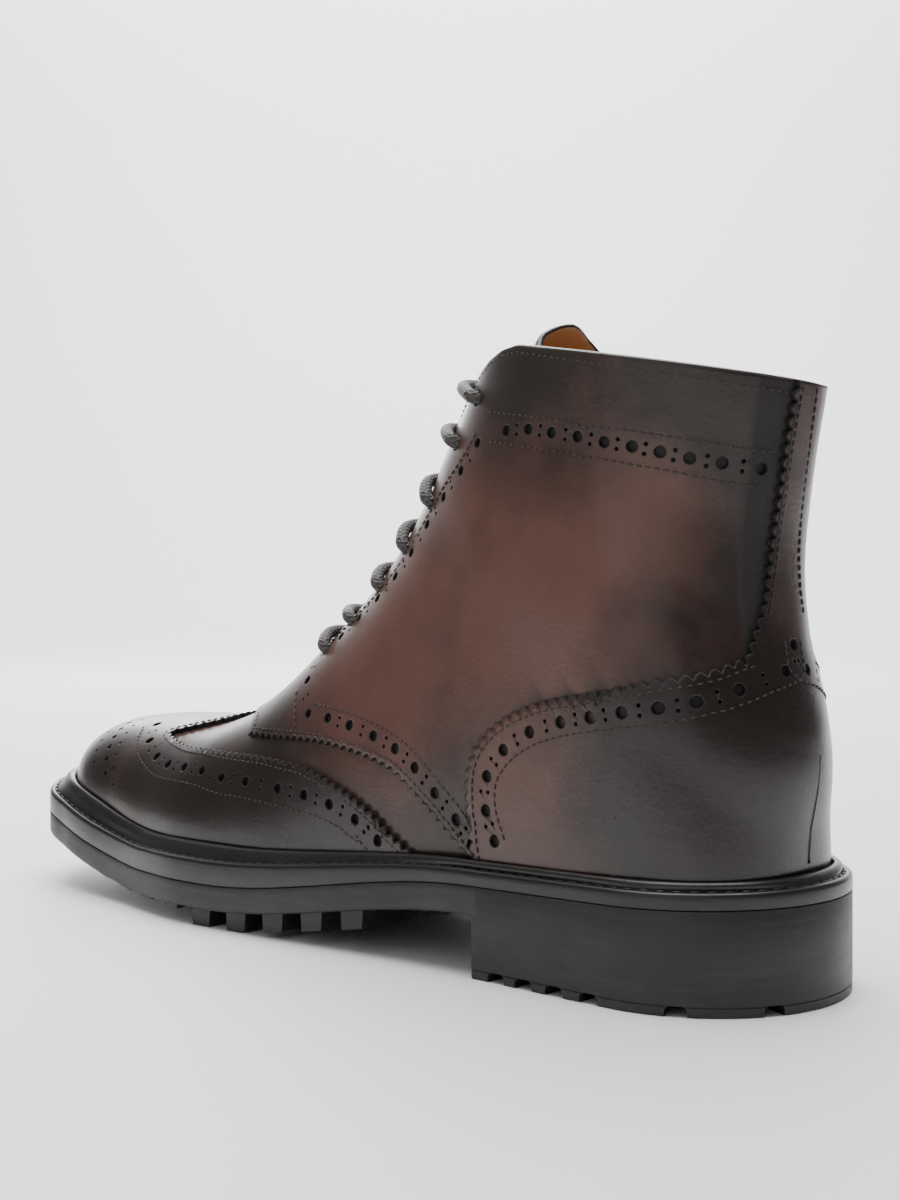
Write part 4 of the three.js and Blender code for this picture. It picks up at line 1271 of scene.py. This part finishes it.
dark = leather("dark_leather", (0.011, 0.0062, 0.0052, 1), (0.080, 0.034, 0.024, 1), dark_patches,
               0.3, 0.30)
print("leathers", brown.name, dark.name)

# %% Lining, rubber and lace
f = Finish("lining")
lining_material = f.surface(f.mix(f.noise(0.02), (0.42, 0.20, 0.085, 1), (0.58, 0.31, 0.14, 1)), 0.62,
                            f.bump(f.noise(0.0012, 4.0), 0.0002, 0.5))

def rubber(name, colour, scuffed, rough, fine):
    f = Finish(name)
    streaks = f.noise(0.006, 4.0, (0.35, 0.35, 4.0))
    scuff = ((f.noise(0.016, 5.0) * streaks - 0.22) * 3.5).clamp()
    height = streaks * 0.6 + f.noise(0.0009, 3.0) * 0.5
    return f.surface(f.mix(scuff, colour, scuffed), rough - scuff * 0.05 + (f.noise(0.011) - 0.5) * 0.16,
                     f.bump(height, 0.00025, fine), Specular_IOR_Level=0.45)

sole_material = rubber("sole_rubber", (0.0105, 0.0098, 0.0095, 1), (0.021, 0.0195, 0.0185, 1), 0.47, 0.5)
welt_material = rubber("welt_rubber", (0.0085, 0.0078, 0.0075, 1), (0.018, 0.0165, 0.0155, 1), 0.33, 0.3)

# The lace's braid: two sets of strands wind round it in opposite directions
f = Finish("lace")
strands, strand_slope = 6, 0.55
braid_place = f.node("ShaderNodeUVMap", {"uv_map": "UVMap"})
round_it, along_it = [f.node("ShaderNodeSeparateXYZ", {}, {"Vector": braid_place}, axis) for axis in "XY"]
one = ((round_it * strands + along_it * strand_slope) * (2 * math.pi)).sine()
other = ((round_it * strands - along_it * strand_slope) * (2 * math.pi)).sine()
braid = one.most(other) * 0.5 + 0.5
# The colour is near black in the grooves between the strands: painted shade.
lace_material = f.surface(f.mix(braid, (0.006, 0.0052, 0.005, 1), (0.034, 0.027, 0.023, 1)), 0.50,
                          f.bump(braid, 0.00035, 0.9))
f = Finish("thread")
thread = f.surface(f.mix(f.noise(0.004), (0.010, 0.007, 0.006, 1), (0.030, 0.017, 0.012, 1)),
                   0.62 + (f.noise(0.003) - 0.5) * 0.1)
finishes = {"brown_leather": brown, "dark_leather": dark, "lining": lining_material,
            "sole_rubber": sole_material, "welt_rubber": welt_material, "lace": lace_material}
print("finishes", sorted(finishes))

# %% Putting the materials on
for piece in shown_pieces():
    finish = finishes[piece["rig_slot"]] if "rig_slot" in piece else lining_material
    if "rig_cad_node" in piece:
        for k in range(max(len(piece.data.materials), 1)):
            if k < len(piece.data.materials):
                piece.data.materials[k] = finish
            else:
                piece.data.materials.append(finish)
    else:
        piece.data.materials.append(thread if piece.name == "stitches" else finish)
        if piece.name == "tongue_dressed":
            piece.data.materials.append(lining_material)
    print(piece.name, finish.name)

# %% [markdown]
# ## Floor and light
# A pale studio: one plain sheet makes the floor and runs up behind. A large soft light hangs over
# the boot, the strongest one washes the sheet behind it, and two dim ones stand at the outer side
# and ahead of the toe. The room on the camera's side is dark, so the leather keeps its depth.
# %% Floor and backdrop
sheet_length, flat_length, bend, half_width = 8.0, 3.6, 1.2, 4
sheet_start, ahead_of_start = Vector((0.9, 0.9, 0)), 0.6
level_forward, level_aside = Vector((forward.x, forward.y, 0)), Vector((forward.y, -forward.x, 0))
bm = bmesh.new()
bmesh.ops.create_grid(bm, x_segments=40, y_segments=1, size=1.0)
for v in bm.verts:
    along = (v.co.x + 1) / 2 * sheet_length
    turn = min(max((along - flat_length) / bend, 0.0), pi / 2)
    ahead = min(along, flat_length) + bend * math.sin(turn)
    up = bend * (1 - math.cos(turn)) + max(along - flat_length - bend * pi / 2, 0.0)
    spot = sheet_start + level_forward * (ahead - ahead_of_start) + level_aside * v.co.y * half_width
    v.co = (spot.x, spot.y, up)
for face in bm.faces:
    face.smooth = True
floor_mesh = bpy.data.meshes.new("floor")
bm.to_mesh(floor_mesh)
bm.free()
floor = linked("floor", floor_mesh)
f = Finish("floor")
pale = f.surface(f.mix(f.noise(0.8), (0.87, 0.87, 0.87, 1), (0.90, 0.90, 0.90, 1)),
                 0.6 + (f.noise(0.5) - 0.5) * 0.05)
floor_mesh.materials.append(pale)
print("floor", len(floor_mesh.polygons), "faces")

# %% Lights
def area_light(name, place, target, width, height, power):
    data = bpy.data.lights.new(name, "AREA")
    data.shape, data.size, data.size_y, data.energy = "RECTANGLE", width, height, power
    light = linked(name, data)
    light.location = place
    light.rotation_euler = (Vector(target) - Vector(place)).to_track_quat("-Z", "Y").to_euler()

world_strength = 0.19
wall_foot = Vector((0.35, 0.35, 0)) + Vector((forward.x, forward.y, 0)) * 2.2
area_light("top", (-0.1, -0.1, 1.9), (0, 0, 0), 1.8, 1.8, 76)
area_light("wall", (wall_foot.x, wall_foot.y, 2.2), (wall_foot.x * 2.1, wall_foot.y * 2.1, 0.6), 3.0, 1.0,
           135)
area_light("toe", (-0.9, -1.3, 0.9), (0, -0.1, 0.05), 0.8, 1.0, 12)
area_light("side", (1.6, 0.2, 1.0), (0, 0, 0.08), 2.4, 1.8, 8)
world = bpy.data.worlds.new("studio")
world.use_nodes = True
background = world.node_tree.nodes["Background"]
background.inputs[0].default_value = (1, 1, 1, 1)
background.inputs[1].default_value = world_strength
bpy.context.scene.world = world
print("lights", len(bpy.data.lights))
